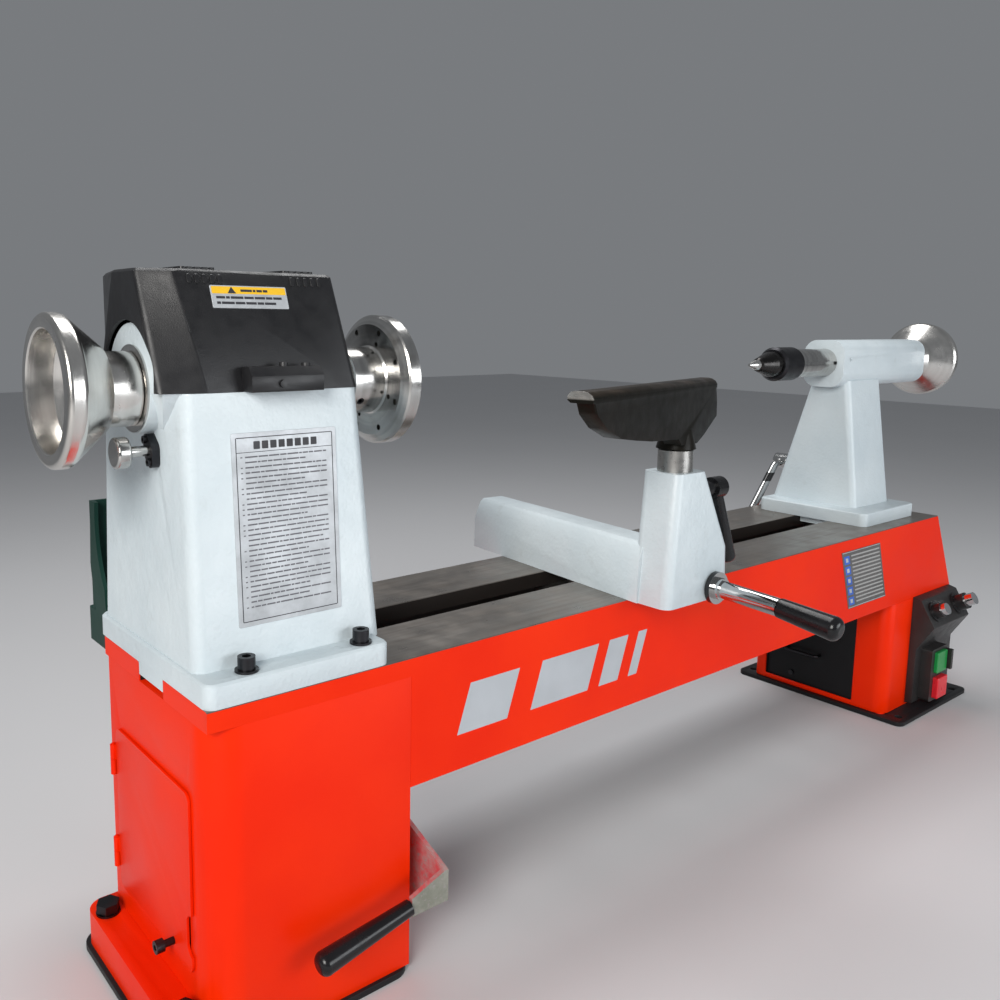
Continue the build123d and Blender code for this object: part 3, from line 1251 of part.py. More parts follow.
REST_YAW = 14.0
REST_ACROSS = (cos(radians(REST_YAW)), sin(radians(REST_YAW)), 0)
REST_SPIGOT = 12.0
RAIL_TOP = 677.0
RAIL_ENDS = (-276.0, 86.0)
REST_BACK, REST_FRONT = -4.0, 19.0  # faces of the rest, from the post axis towards the operator
REST_PLANE = Plane(
    origin=(STEM[0], STEM[1], 0),
    x_dir=REST_ACROSS,
    z_dir=(sin(radians(REST_YAW)), -cos(radians(REST_YAW)), 0),
)

with BuildPart() as tool_post:
    with BuildSketch(Plane.XY.offset(STEM_BOTTOM)):
        with Locations(STEM):
            Circle(STEM_RADIUS)
    extrude(amount=STEM_TOP - STEM_BOTTOM)
    chamfer(tool_post.faces().sort_by(Axis.Z)[-1].edges(), length=1.5)
    with BuildSketch(Plane.XY.offset(STEM_TOP)):
        with Locations(STEM):
            Circle(REST_SPIGOT + RUNNING_GAP)
    extrude(amount=-64, mode=Mode.SUBTRACT)
tool_post.part.label = "tool_post"
export_step(tool_post.part, "parts/tool_post.step")

with BuildPart() as tool_rest:
    extrude(
        outline(
            REST_PLANE.offset(REST_BACK),
            [
                (RAIL_ENDS[0] + 3, RAIL_TOP - 11),
                (RAIL_ENDS[0] + 10, RAIL_TOP - 24),
                (-240, RAIL_TOP - 43),
                (-203, RAIL_TOP - 57),
                (-166, RAIL_TOP - 62.5),
                (-120, RAIL_TOP - 68),
                (-38, RAIL_TOP - 73),
                (-28, STEM_TOP + 8),
                (24, STEM_TOP + 6),
                (47, RAIL_TOP - 75),
                (91, RAIL_TOP - 52),
                (90, RAIL_TOP - 32),
                (RAIL_ENDS[1] - 2, RAIL_TOP - 11),
            ],
        ),
        amount=REST_FRONT - REST_BACK,
    )
    chamfer(tool_rest.faces().sort_by(Axis.Y)[0].edges().sort_by(Axis.Z)[:9], length=1.5)
    with BuildSketch(Plane.XY.offset(STEM_TOP + FACE_GAP)):
        with Locations(STEM):
            Circle(STEM_RADIUS + 3)
    extrude(amount=26, taper=14)
    with BuildSketch(Plane.XY.offset(STEM_TOP + FACE_GAP)):
        with Locations(STEM):
            Circle(REST_SPIGOT)
    extrude(amount=-60)
    rail_start = Vector(*STEM, 0) + Vector(*REST_ACROSS) * RAIL_ENDS[0]
    rail_profile = outline(
        Plane(origin=rail_start, x_dir=(-REST_ACROSS[1], REST_ACROSS[0], 0), z_dir=REST_ACROSS),
        [
            (-REST_FRONT - 0.5, RAIL_TOP - 13),
            (-REST_FRONT - 0.5, RAIL_TOP - 8),
            (-REST_FRONT + 2, RAIL_TOP - 4),
            (-REST_FRONT + 7, RAIL_TOP - 1),
            (-REST_FRONT + 12, RAIL_TOP),
            (4, RAIL_TOP),
            (9, RAIL_TOP - 1.5),
            (12, RAIL_TOP - 5),
            (12, RAIL_TOP - 10),
            (8, RAIL_TOP - 13),
        ],
    )
    extrude(rail_profile, amount=RAIL_ENDS[1] - RAIL_ENDS[0])
tool_rest.part.label = "tool_rest"
export_step(tool_rest.part, "parts/tool_rest.step")

# ---------------------------------------------------------------- tailstock
TAIL_X = 1320.0
TAIL_FOOT_X, TAIL_FOOT_Y = (1215.0, 1412.0), (-106.0, 112.0)
TAIL_FOOT_TOP = 405.0
BARREL_X = (1223.0, 1550.0)
BARREL_HALF = 40.0
BARREL_BOTTOM, BARREL_TOP = 634.0, 722.0
BARREL_CORNER = 26.0
QUILL_RADIUS = 26.0
QUILL_BORE_END = 1525.0
QUILL_X = (1107.0, 1400.0)
SCREW_RADIUS = 10.0
SCREW_LEFT = 1345.0
TAIL_BOLT_TOP = 440.0
TAIL_LEVER = (1360.0, 462.0)  # x, z of the clamp lever's shaft
TAIL_LEVER_Y = 150.0
TAIL_SHAFT = 9.0
TAIL_SHAFT_FRONT = 20.0
LOCK_X, LOCK_RADIUS = 1300.0, 5.0

with BuildPart() as tailstock_casting:
    extrude(
        rounded_plan(BED_TOP + SLIDE_GAP, TAIL_FOOT_X, TAIL_FOOT_Y, 14),
        amount=TAIL_FOOT_TOP - BED_TOP - SLIDE_GAP,
    )
    fillet(tailstock_casting.faces().sort_by(Axis.Z)[-1].edges(), radius=3)
    loft(
        [
            rounded_plan(TAIL_FOOT_TOP - 4, (1255, 1393), (-65, 109), 12),
            rounded_plan(BARREL_BOTTOM + 12, (1248, 1374), (-38, 36), 12),
        ]
    )
    with BuildSketch(facing_x(BARREL_X[0], 0, (BARREL_BOTTOM + BARREL_TOP) / 2)):
        RectangleRounded(2 * BARREL_HALF, BARREL_TOP - BARREL_BOTTOM, BARREL_CORNER)
    extrude(amount=BARREL_X[1] - BARREL_X[0])
    with BuildSketch(Plane.XY.offset(BED_TOP + SLIDE_GAP)):
        with Locations((TAIL_X, 0)):
            Rectangle(170, 2 * TONGUE_HALF_WIDTH)
    extrude(amount=-TONGUE_DEPTH)
    with BuildSketch(facing_x(BARREL_X[0], 0, SPINDLE_HEIGHT)):
        Circle(QUILL_RADIUS + RUNNING_GAP)
    extrude(amount=QUILL_BORE_END - BARREL_X[0], mode=Mode.SUBTRACT)
    with BuildSketch(facing_x(BARREL_X[1], 0, SPINDLE_HEIGHT)):
        Circle(SCREW_RADIUS + RUNNING_GAP)
    extrude(amount=QUILL_BORE_END - BARREL_X[1], mode=Mode.SUBTRACT)
    with BuildSketch(Plane.XY.offset(BED_TOP - TONGUE_DEPTH)):
        with Locations((TAIL_X, 0)):
            Circle(CLAMP_BOLT + SLIDE_GAP)
    extrude(amount=TAIL_BOLT_TOP + 3 - BED_TOP + TONGUE_DEPTH, mode=Mode.SUBTRACT)
    with BuildSketch(facing_back(TAIL_LEVER[0], TAIL_SHAFT_FRONT, TAIL_LEVER[1])):
        Circle(17)
    extrude(amount=102 - TAIL_SHAFT_FRONT)
    with BuildSketch(facing_back(TAIL_LEVER[0], TAIL_SHAFT_FRONT, TAIL_LEVER[1])):
        Circle(TAIL_SHAFT + RUNNING_GAP)
    extrude(amount=110 - TAIL_SHAFT_FRONT, mode=Mode.SUBTRACT)
    with BuildSketch(facing_back(LOCK_X, BARREL_HALF, SPINDLE_HEIGHT)):
        Circle(LOCK_RADIUS + RUNNING_GAP)
    extrude(amount=-BARREL_HALF / 2, mode=Mode.SUBTRACT)
    with BuildSketch(Plane.XZ.offset(BARREL_HALF)):
        with Locations((BARREL_X[0] + 24, SPINDLE_HEIGHT + 6)):
            Circle(3)
    extrude(amount=-6, mode=Mode.SUBTRACT)
tailstock_casting.part.label = "tailstock_casting"
export_step(tailstock_casting.part, "parts/tailstock_casting.step")

with BuildPart() as tailstock_clamp:
    extrude(clamp_plate(TAIL_X, 70, 110), amount=-CLAMP_PLATE)
    with BuildSketch(Plane.XY.offset(CLAMP_TOP - CLAMP_PLATE)):
        with Locations((TAIL_X, 0)):
            RegularPolygon(17, 6)
    extrude(amount=-16)
    with BuildSketch(Plane.XY.offset(CLAMP_TOP)):
        with Locations((TAIL_X, 0)):
            Circle(CLAMP_BOLT)
    extrude(amount=TAIL_BOLT_TOP - CLAMP_TOP)
tailstock_clamp.part.label = "tailstock_clamp"
export_step(tailstock_clamp.part, "parts/tailstock_clamp.step")

TAIL_ROD = 8.0
TAIL_ROD_POINTS = [(TAIL_LEVER[0], 462.0), (1330.0, 456.0), (1244.0, 358.0)]
TAIL_GRIP_START = (1243.0, TAIL_LEVER_Y, 356.9)
TAIL_GRIP_END = (1186.0, TAIL_LEVER_Y, 292.0)
with BuildPart() as tailstock_lever:
    with BuildSketch(facing_back(TAIL_LEVER[0], TAIL_SHAFT_FRONT + 1, TAIL_LEVER[1])):
        Circle(TAIL_SHAFT)
    extrude(amount=TAIL_LEVER_Y - TAIL_SHAFT_FRONT - 1)
    with BuildSketch(facing_back(TAIL_LEVER[0], TAIL_LEVER_Y - 14, TAIL_LEVER[1])):
        Circle(16)
    extrude(amount=28)
    with BuildLine() as lever_path:
        Polyline(*[(x, TAIL_LEVER_Y, z) for x, z in TAIL_ROD_POINTS])
        fillet(lever_path.vertices().sort_by(Axis.X)[1], radius=22)
    with BuildSketch(Plane(origin=lever_path.line @ 0, z_dir=lever_path.line % 0)):
        Circle(TAIL_ROD)
    sweep()
tailstock_lever.part.label = "tailstock_lever"
export_step(tailstock_lever.part, "parts/tailstock_lever.step")

with BuildPart() as tailstock_grip:
    loft(grip_ends(TAIL_GRIP_START, TAIL_GRIP_END, TAIL_ROD + 1, 12))
    fillet(far_edge(tailstock_grip, TAIL_GRIP_START, TAIL_GRIP_END), radius=9)
tailstock_grip.part.label = "tailstock_grip"
export_step(tailstock_grip.part, "parts/tailstock_grip.step")

CENTRE_TAPER = 12.0
KEYWAY = (3.0, 6.0)  # depth, width
with BuildPart() as quill:
    with BuildSketch(facing_x(QUILL_X[0], 0, SPINDLE_HEIGHT)):
        Circle(QUILL_RADIUS)
    extrude(amount=QUILL_X[1] - QUILL_X[0])
    chamfer(quill.faces().sort_by(Axis.X)[0].edges(), length=1.5)
    with Locations(((QUILL_X[0] + 8 + QUILL_X[1]) / 2, -QUILL_RADIUS, SPINDLE_HEIGHT)):
        Box(QUILL_X[1] - QUILL_X[0] - 8, 2 * KEYWAY[0], KEYWAY[1], mode=Mode.SUBTRACT)
    with BuildSketch(facing_x(QUILL_X[0], 0, SPINDLE_HEIGHT)):
        Circle(CENTRE_TAPER)
    extrude(amount=60, mode=Mode.SUBTRACT)
    with BuildSketch(facing_x(QUILL_X[1], 0, SPINDLE_HEIGHT)):
        Circle(SCREW_RADIUS + 0.5)
    extrude(amount=-(QUILL_X[1] - QUILL_X[0] - 130), mode=Mode.SUBTRACT)
quill.part.label = "quill"
export_step(quill.part, "parts/quill.step")

POINT_SHAFT = 9.0
with BuildPart() as live_centre_body:
    revolve(
        turned(
            [
                (1048, POINT_SHAFT + RUNNING_GAP),
                (1048, 26),
                (1053, 30),
                (QUILL_X[0] - 3, 30),
                (QUILL_X[0], 27),
                (QUILL_X[0], CENTRE_TAPER),
                (QUILL_X[0] + 56, CENTRE_TAPER),
                (QUILL_X[0] + 56, 0),
                (1084, 0),
                (1084, POINT_SHAFT + RUNNING_GAP),
            ]
        ),
        axis=SPINDLE_AXIS,
    )
live_centre_body.part.label = "live_centre_body"
export_step(live_centre_body.part, "parts/live_centre_body.step")

with BuildPart() as live_centre_point:
    revolve(
        turned(
            [
                (976, 0),
                (976, 2.5),
                (992, 8),
                (1001, 9),
                (1004, 12),
                (1036, 22),
                (1048 - FACE_GAP, 23),
                (1048 - FACE_GAP, POINT_SHAFT),
                (1083, POINT_SHAFT),
                (1083, 0),
            ]
        ),
        axis=SPINDLE_AXIS,
    )
live_centre_point.part.label = "live_centre_point"
export_step(live_centre_point.part, "parts/live_centre_point.step")

WHEEL_LEFT = BARREL_X[1] + FACE_GAP
WHEEL_RIM = 1628.0
WHEEL_RADIUS = 75.5
with BuildPart() as tailstock_handwheel:
    revolve(
        turned(
            [
                (SCREW_LEFT, 0),
                (SCREW_LEFT, SCREW_RADIUS - 1),
                (SCREW_LEFT + 1, SCREW_RADIUS),
                (WHEEL_LEFT, SCREW_RADIUS),
                (WHEEL_LEFT, 28),
                (WHEEL_LEFT + 12, 32),
                (1576, 38),
                (1611, 73),
                (1615, WHEEL_RADIUS),
                (WHEEL_RIM - 3, WHEEL_RADIUS),
                (WHEEL_RIM, WHEEL_RADIUS - 3),
                (WHEEL_RIM, WHEEL_RADIUS - 10),
                (1590, 34),
                (1582, 24),
                (1582, 0),
            ]
        ),
        axis=SPINDLE_AXIS,
    )
tailstock_handwheel.part.label = "tailstock_handwheel"
export_step(tailstock_handwheel.part, "parts/tailstock_handwheel.step")

with BuildPart() as quill_lock:
    with BuildSketch(facing_back(LOCK_X, QUILL_RADIUS + 1, SPINDLE_HEIGHT)):
        Circle(LOCK_RADIUS)
    extrude(amount=BARREL_HALF - QUILL_RADIUS + 6)
    with BuildSketch(facing_back(LOCK_X, BARREL_HALF + FACE_GAP, SPINDLE_HEIGHT)):
        Circle(11)
    extrude(amount=18)
    lock_start = (LOCK_X, BARREL_HALF + 10, SPINDLE_HEIGHT)
    lock_end = (LOCK_X + 58, BARREL_HALF + 16, SPINDLE_HEIGHT + 22)
    with BuildSketch(along(lock_start, lock_end)):
        Circle(4)
    extrude(amount=62)
    with Locations(lock_end):
        Sphere(9)
quill_lock.part.label = "quill_lock"
export_step(quill_lock.part, "parts/quill_lock.step")

# ---------------------------------------------------------------- control console
CONSOLE_X = (1368.0, 1522.0)
CONSOLE_BACK = -BED_HALF_WIDTH - 0.3
CONSOLE_FACE = -151.0
CONSOLE_NOSE = (-181.0, 176.0)  # y, z of the foremost edge
CONSOLE_SHOULDER = (-153.0, 224.0)
KNOB_XS = (1397.0, 1494.0)
KNOB_SHAFT = 3.5
SLOPE = Vector(0, CONSOLE_SHOULDER[0] - CONSOLE_NOSE[0], CONSOLE_SHOULDER[1] - CONSOLE_NOSE[1]).normalized()
KNOB_DIRECTION = Vector(0, -SLOPE.Z, SLOPE.Y)
KNOB_SEAT = (-167.0, 200.0)


def knob_plane(x, standoff):
    """A plane parallel to the sloping panel, centred on a knob."""
    origin = Vector(x, *KNOB_SEAT) + KNOB_DIRECTION * standoff
    return Plane(origin=origin, x_dir=(1, 0, 0), z_dir=KNOB_DIRECTION)


MODULE_X = (1394.0, 1462.0)
MODULE_Z = (18.0, 124.0)
MODULE_FACE = -171.0
BUTTON = 42.0  # square push buttons
BUTTON_X = (MODULE_X[0] + MODULE_X[1]) / 2
GREEN_Z, RED_Z = 96.0, 45.0
BUTTON_GAP = 0.4
BUTTON_STEM = 8.0

with BuildPart() as control_console:
    extrude(
        outline(
            facing_x(CONSOLE_X[0]),
            [
                (CONSOLE_BACK, 14),
                (CONSOLE_FACE, 16),
                (CONSOLE_FACE, 126),
                CONSOLE_NOSE,
                CONSOLE_SHOULDER,
                (CONSOLE_BACK - 2, 228),
                (CONSOLE_BACK, 228),
            ],
        ),
        amount=CONSOLE_X[1] - CONSOLE_X[0],
    )
    fillet(control_console.edges().filter_by(Axis.X).group_by(Axis.Y)[0], radius=3)
    for x in KNOB_XS:
        with BuildSketch(knob_plane(x, 0)):
            Circle(KNOB_SHAFT + RUNNING_GAP)
        extrude(amount=2, mode=Mode.SUBTRACT)
        with BuildSketch(knob_plane(x, 0)):
            Circle(KNOB_SHAFT + RUNNING_GAP)
        extrude(amount=-10, mode=Mode.SUBTRACT)
control_console.part.label = "control_console"
export_step(control_console.part, "parts/control_console.step")

with BuildPart() as switch_module:
    with BuildSketch(Plane.XZ.offset(-CONSOLE_FACE)):
        with Locations((BUTTON_X, (MODULE_Z[0] + MODULE_Z[1]) / 2)):
            RectangleRounded(MODULE_X[1] - MODULE_X[0], MODULE_Z[1] - MODULE_Z[0], 6)
    extrude(amount=CONSOLE_FACE - MODULE_FACE)
    with BuildSketch(Plane.XZ.offset(-MODULE_FACE)):
        for z in (GREEN_Z, RED_Z):
            with Locations((BUTTON_X, z)):
                RectangleRounded(BUTTON + 2 * BUTTON_GAP, BUTTON + 2 * BUTTON_GAP, 3)
    extrude(amount=-12, mode=Mode.SUBTRACT)
    with BuildSketch(Plane.XZ.offset(-MODULE_FACE)):
        with Locations((MODULE_X[1] - 5, GREEN_Z)):
            Rectangle(8, 40)
    extrude(amount=12)
switch_module.part.label = "switch_module"
export_step(switch_module.part, "parts/switch_module.step")

with BuildPart() as green_button:
    with BuildSketch(Plane.XZ.offset(-MODULE_FACE - BUTTON_STEM)):
        with Locations((BUTTON_X, GREEN_Z)):
            RectangleRounded(BUTTON, BUTTON, 3)
    extrude(amount=BUTTON_STEM + 6)
    fillet(green_button.faces().sort_by(Axis.Y)[0].edges(), radius=1.5)
green_button.part.label = "green_button"
export_step(green_button.part, "parts/green_button.step")

with BuildPart() as red_button:
    with BuildSketch(Plane.XZ.offset(-MODULE_FACE - BUTTON_STEM)):
        with Locations((BUTTON_X, RED_Z)):
            RectangleRounded(BUTTON, BUTTON, 3)
    extrude(amount=BUTTON_STEM + 10)
    fillet(red_button.faces().sort_by(Axis.Y)[0].edges(), radius=2)
red_button.part.label = "red_button"
export_step(red_button.part, "parts/red_button.step")


def knob_sections(x, heights_and_radii):
    """Stacked round steps of a knob as (face, height) pairs, on their planes."""
    steps = []
    height = FACE_GAP
    for depth, radius in heights_and_radii:
        with BuildSketch(knob_plane(x, height)) as step:
            Circle(radius)
        steps.append((step.sketch, depth))
        height += depth
    with BuildSketch(knob_plane(x, -9)) as shaft:
        Circle(KNOB_SHAFT)
    steps.append((shaft.sketch, 9 + FACE_GAP))
    return steps


with BuildPart() as direction_knob:
    for face, depth in knob_sections(KNOB_XS[0], [(3, 19), (14, 14), (9, 11)]):
        extrude(face, amount=depth)
direction_knob.part.label = "direction_knob"
export_step(direction_knob.part, "parts/direction_knob.step")

with BuildPart() as speed_knob:
    for face, depth in knob_sections(KNOB_XS[1], [(3, 21), (18, 16), (16, 12)]):
        extrude(face, amount=depth)
speed_knob.part.label = "speed_knob"
export_step(speed_knob.part, "parts/speed_knob.step")
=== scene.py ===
import bmesh
import bpy
import math
from mathutils import Matrix, Vector


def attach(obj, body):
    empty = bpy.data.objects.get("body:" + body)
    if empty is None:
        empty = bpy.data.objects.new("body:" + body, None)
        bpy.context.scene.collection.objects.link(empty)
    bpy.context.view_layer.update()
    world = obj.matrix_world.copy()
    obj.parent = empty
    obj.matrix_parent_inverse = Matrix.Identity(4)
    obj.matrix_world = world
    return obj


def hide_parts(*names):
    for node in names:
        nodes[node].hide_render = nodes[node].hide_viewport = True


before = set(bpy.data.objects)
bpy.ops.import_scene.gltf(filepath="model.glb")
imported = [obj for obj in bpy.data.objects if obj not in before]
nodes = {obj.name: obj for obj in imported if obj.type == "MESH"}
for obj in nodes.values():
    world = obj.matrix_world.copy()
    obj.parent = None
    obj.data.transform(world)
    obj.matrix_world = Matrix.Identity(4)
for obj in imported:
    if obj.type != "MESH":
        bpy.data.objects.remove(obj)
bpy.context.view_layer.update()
scene = bpy.context.scene
scene.view_settings.view_transform = "Standard"
scene.view_settings.look = "None"

SPINDLE_HEIGHT = 0.68  # metres over the floor
BED_TOP_PAINT_LIMIT = 0.3755  # above this level an upward face is a ground way
BED_MIDDLE, BED_INSIDE_REACH = 0.666, 0.773  # where the bed's inner faces lie along it
BED_INNER_WALL = 0.1275  # just past the inner faces of the bed's side walls
REST_CENTRE = (0.55, -0.17)  # x and y of the tool rest's swivel
REST_TURN = math.radians(14)  # how far the tool rest is swivelled
REST_TIP = (-0.2752, -0.2735)  # worn end of the tool rest, along it from its swivel
PANEL_ORIGIN, PANEL_NORMAL = (0, -0.167, 0.2), (0, -0.86378, 0.50387)  # the console's sloping panel
CORNER_STEPS = 4  # edges to each rounded corner of a printed piece
INK = 0.00012  # thickness of a printed layer
SHEET_THICKNESS = 0.0008
HUB_FRONT = -0.2104  # y of a plane just in front of the banjo lever's hub disc, which is black
TAIL_BAND = (0.424, 0.441)  # black band round the tailstock lever, between two heights
LOW_CAP, TALL_CAP = 0.0176, 0.0216  # where each knob's polished cap begins, over the panel
RAIL_LEVEL = (0.6700, 0.6745)  # the tool rest's rail, from its shoulder to its top
WORN_LEVEL = (0.6675, 0.6705)  # the levels between which its worn end turns bare
CENTRE_TIP = (0.9995, 1.0005)  # where the live centre's ground tip gives way to black


# ---------------------------------------------------------------- shader building blocks
class Shader:
    """One procedural material, with short names for the nodes it is built from."""

    def __init__(self, name, **sockets):
        self.material = bpy.data.materials.new(name)
        self.material.use_nodes = True
        self.tree = self.material.node_tree
        self.bsdf = self.tree.nodes["Principled BSDF"]
        self.place = self.tree.nodes.new("ShaderNodeTexCoord")
        for socket, value in sockets.items():
            self.bsdf.inputs[socket.replace("_", " ")].default_value = value

    def link(self, source, target):
        self.tree.links.new(source, target)

    def node(self, kind, **inputs):
        made = self.tree.nodes.new(kind)
        for socket, value in inputs.items():
            self.put(made.inputs[socket.replace("_", " ")], value)
        return made

    def put(self, socket, value):
        if isinstance(value, bpy.types.NodeSocket):
            self.link(value, socket)
        else:
            socket.default_value = value

    def math(self, operation, first, second=0.0, clamp=False):
        made = self.tree.nodes.new("ShaderNodeMath")
        made.operation = operation
        made.use_clamp = clamp
        for socket, value in zip(made.inputs, (first, second)):
            self.put(socket, value)
        return made.outputs[0]

    def vector(self, operation, first, second=(0, 0, 0)):
        made = self.tree.nodes.new("ShaderNodeVectorMath")
        made.operation = operation
        self.put(made.inputs[0], first)
        self.put(made.inputs[1], second)
        return made.outputs["Value" if operation in ("LENGTH", "DOT_PRODUCT") else "Vector"]

    def noise(self, scale, detail=2.0, stretch=None, coords=None, rough=0.5):
        at = coords or self.place.outputs["Object"]
        if stretch:
            at = self.vector("MULTIPLY", at, stretch)
        made = self.node("ShaderNodeTexNoise", Vector=at, Scale=scale, Detail=detail, Roughness=rough)
        return made.outputs[0]

    def ramp(self, value, low, high, out_low=0.0, out_high=1.0):
        made = self.node("ShaderNodeMapRange", Value=value)
        for socket, number in zip(made.inputs[1:5], (low, high, out_low, out_high)):
            socket.default_value = number
        return made.outputs[0]

    def mix(self, factor, first, second):
        made = self.tree.nodes.new("ShaderNodeMix")
        made.data_type = "RGBA"
        self.put(made.inputs[0], factor)
        for socket, value in zip((made.inputs[6], made.inputs[7]), (first, second)):
            self.put(socket, value if isinstance(value, bpy.types.NodeSocket) else (*value, 1.0))
        return made.outputs[2]

    def colour(self, value):
        self.put(self.bsdf.inputs["Base Color"], value)

    def roughness(self, value):
        self.put(self.bsdf.inputs["Roughness"], value)

    def bump(self, height, distance, strength=1.0, after=None):
        made = self.node("ShaderNodeBump", Height=height, Distance=distance, Strength=strength)
        if after:
            self.link(after, made.inputs["Normal"])
        return made.outputs[0]

    def normal(self, value):
        self.link(value, self.bsdf.inputs["Normal"])

    def axes(self):
        made = self.node("ShaderNodeSeparateXYZ", Vector=self.place.outputs["Object"])
        return made.outputs

    def facing(self, axis):
        """How far the surface faces along an axis, from -1 to 1."""
        return self.vector("DOT_PRODUCT", self.place.outputs["Normal"], axis)


def sprayed_paint(name, base, deep, rough=0.36):
    """Thick sprayed paint, with a slightly lumpy skin."""
    shader = Shader(name, Coat_Weight=0.03, Coat_Roughness=0.2, Specular_IOR_Level=0.12)
    cloud = shader.ramp(shader.noise(5.0, 4), 0.35, 0.68)
    shader.colour(shader.mix(cloud, deep, base))
    shader.roughness(shader.ramp(shader.noise(20.0, 2), 0.3, 0.7, rough - 0.03, rough + 0.05))
    coarse = shader.bump(shader.noise(155.0, 2), 0.0006, 0.09)
    shader.normal(shader.bump(shader.noise(620.0, 3), 0.0003, 0.3, after=coarse))
    return shader


def cast_paint(name):
    """Pale paint over a pebbled casting, with grey handling marks."""
    shader = Shader(name, Coat_Weight=0.15, Coat_Roughness=0.3)
    cloud = shader.ramp(shader.noise(7.0, 5), 0.3, 0.7)
    pale = shader.mix(cloud, (0.56, 0.64, 0.68), (0.66, 0.73, 0.76))
    smudge = shader.ramp(shader.noise(22.0, 6, rough=0.7), 0.60, 0.80, 0.0, 0.30)
    shader.colour(shader.mix(smudge, pale, (0.33, 0.35, 0.34)))
    shader.roughness(shader.ramp(shader.noise(45.0, 4), 0.3, 0.7, 0.34, 0.5))
    pebbles = shader.node("ShaderNodeTexVoronoi", Vector=shader.place.outputs["Object"], Scale=230.0)
    pebbles.feature = "SMOOTH_F1"
    lumps = shader.bump(pebbles.outputs["Distance"], 0.0006, 0.5)
    swell = shader.bump(shader.noise(38.0, 3), 0.004, 0.35, after=lumps)
    shader.normal(shader.bump(shader.noise(420.0, 2), 0.0004, 0.35, after=swell))
    return shader


def spindle_radius(shader):
    """Distance from the spindle's axis, which runs along X."""
    out = shader.axes()
    return shader.math(
        "SQRT",
        shader.math("ADD",
                    shader.math("POWER", out[1], 2.0),
                    shader.math("POWER", shader.math("SUBTRACT", out[2], SPINDLE_HEIGHT), 2.0)),
    )


def turned_steel(name, tint=(0.60, 0.59, 0.57), shade=(0.40, 0.395, 0.385), rough=0.17, grime=0.5):
    """Polished steel with fine lathe rings round the spindle's axis."""
    shader = Shader(name, Metallic=1.0, Anisotropic=0.55)
    out = shader.axes()
    profile = shader.node("ShaderNodeCombineXYZ", X=out[0], Y=spindle_radius(shader)).outputs[0]
    rings = shader.noise(900.0, 3, coords=profile)
    bands = shader.noise(90.0, 3, coords=profile)
    stain = shader.ramp(shader.noise(30.0, 5, rough=0.65), 0.55, 0.8, 0.0, grime)
    metal = shader.mix(shader.ramp(bands, 0.3, 0.7), shade, tint)
    shader.colour(shader.mix(stain, metal, (0.30, 0.27, 0.22)))
    smear = shader.ramp(shader.noise(50.0, 4), 0.3, 0.75, rough - 0.05, rough + 0.10)
    shader.roughness(smear)
    shader.normal(shader.bump(rings, 0.00006, 0.6))
    around = shader.vector("CROSS_PRODUCT", (1, 0, 0),
                           shader.vector("SUBTRACT", shader.place.outputs["Object"],
                                         (0, 0, SPINDLE_HEIGHT)))
    turn = shader.tree.nodes.new("ShaderNodeVectorTransform")
    turn.vector_type = "VECTOR"
    turn.convert_from, turn.convert_to = "OBJECT", "WORLD"
    shader.link(around, turn.inputs[0])
    shader.link(turn.outputs[0], shader.bsdf.inputs["Tangent"])
    return shader


def plain_steel(name, tint=(0.46, 0.45, 0.43), rough=0.3):
    shader = Shader(name, Metallic=1.0)
    cloud = shader.ramp(shader.noise(26.0, 5, rough=0.65), 0.3, 0.75)
    shader.colour(shader.mix(cloud, tint, tuple(c * 0.62 for c in tint)))
    shader.roughness(shader.ramp(shader.noise(60.0, 4), 0.3, 0.7, rough - 0.07, rough + 0.12))
    shader.normal(shader.bump(shader.noise(700.0, 3), 0.00008, 0.7))
    return shader


def chrome(name):
    shader = Shader(name, Metallic=1.0)
    cloud = shader.ramp(shader.noise(18.0, 3), 0.3, 0.7)
    shader.colour(shader.mix(cloud, (0.60, 0.60, 0.60), (0.50, 0.50, 0.49)))
    shader.roughness(shader.ramp(shader.noise(40.0, 5, rough=0.7), 0.35, 0.75, 0.05, 0.16))
    shader.normal(shader.bump(shader.noise(60.0, 2), 0.0004, 0.12))
    return shader


def lever_chrome(name, band):
    """Chrome with a black band or collar where the band function says so."""
    shader = chrome(name)
    bright = shader.bsdf.inputs["Base Color"].links[0].from_socket
    dark = band(shader, shader.axes())
    shader.colour(shader.mix(dark, bright, (0.012, 0.012, 0.013)))
    shader.put(shader.bsdf.inputs["Metallic"], shader.math("SUBTRACT", 1.0, dark))
    return shader


def plastic(name, base, rough=0.42, fine=900.0, depth=0.00015, coat=0.0, haze=1.6, shine=0.5):
    shader = Shader(name, Coat_Weight=coat, Coat_Roughness=0.12, Specular_IOR_Level=shine)
    cloud = shader.ramp(shader.noise(14.0, 4), 0.3, 0.7)
    shader.colour(shader.mix(cloud, base, tuple(c * haze for c in base)))
    shader.roughness(shader.ramp(shader.noise(70.0, 4), 0.3, 0.7, rough - 0.06, rough + 0.08))
    shader.normal(shader.bump(shader.noise(fine, 2), depth, 0.6))
    return shader


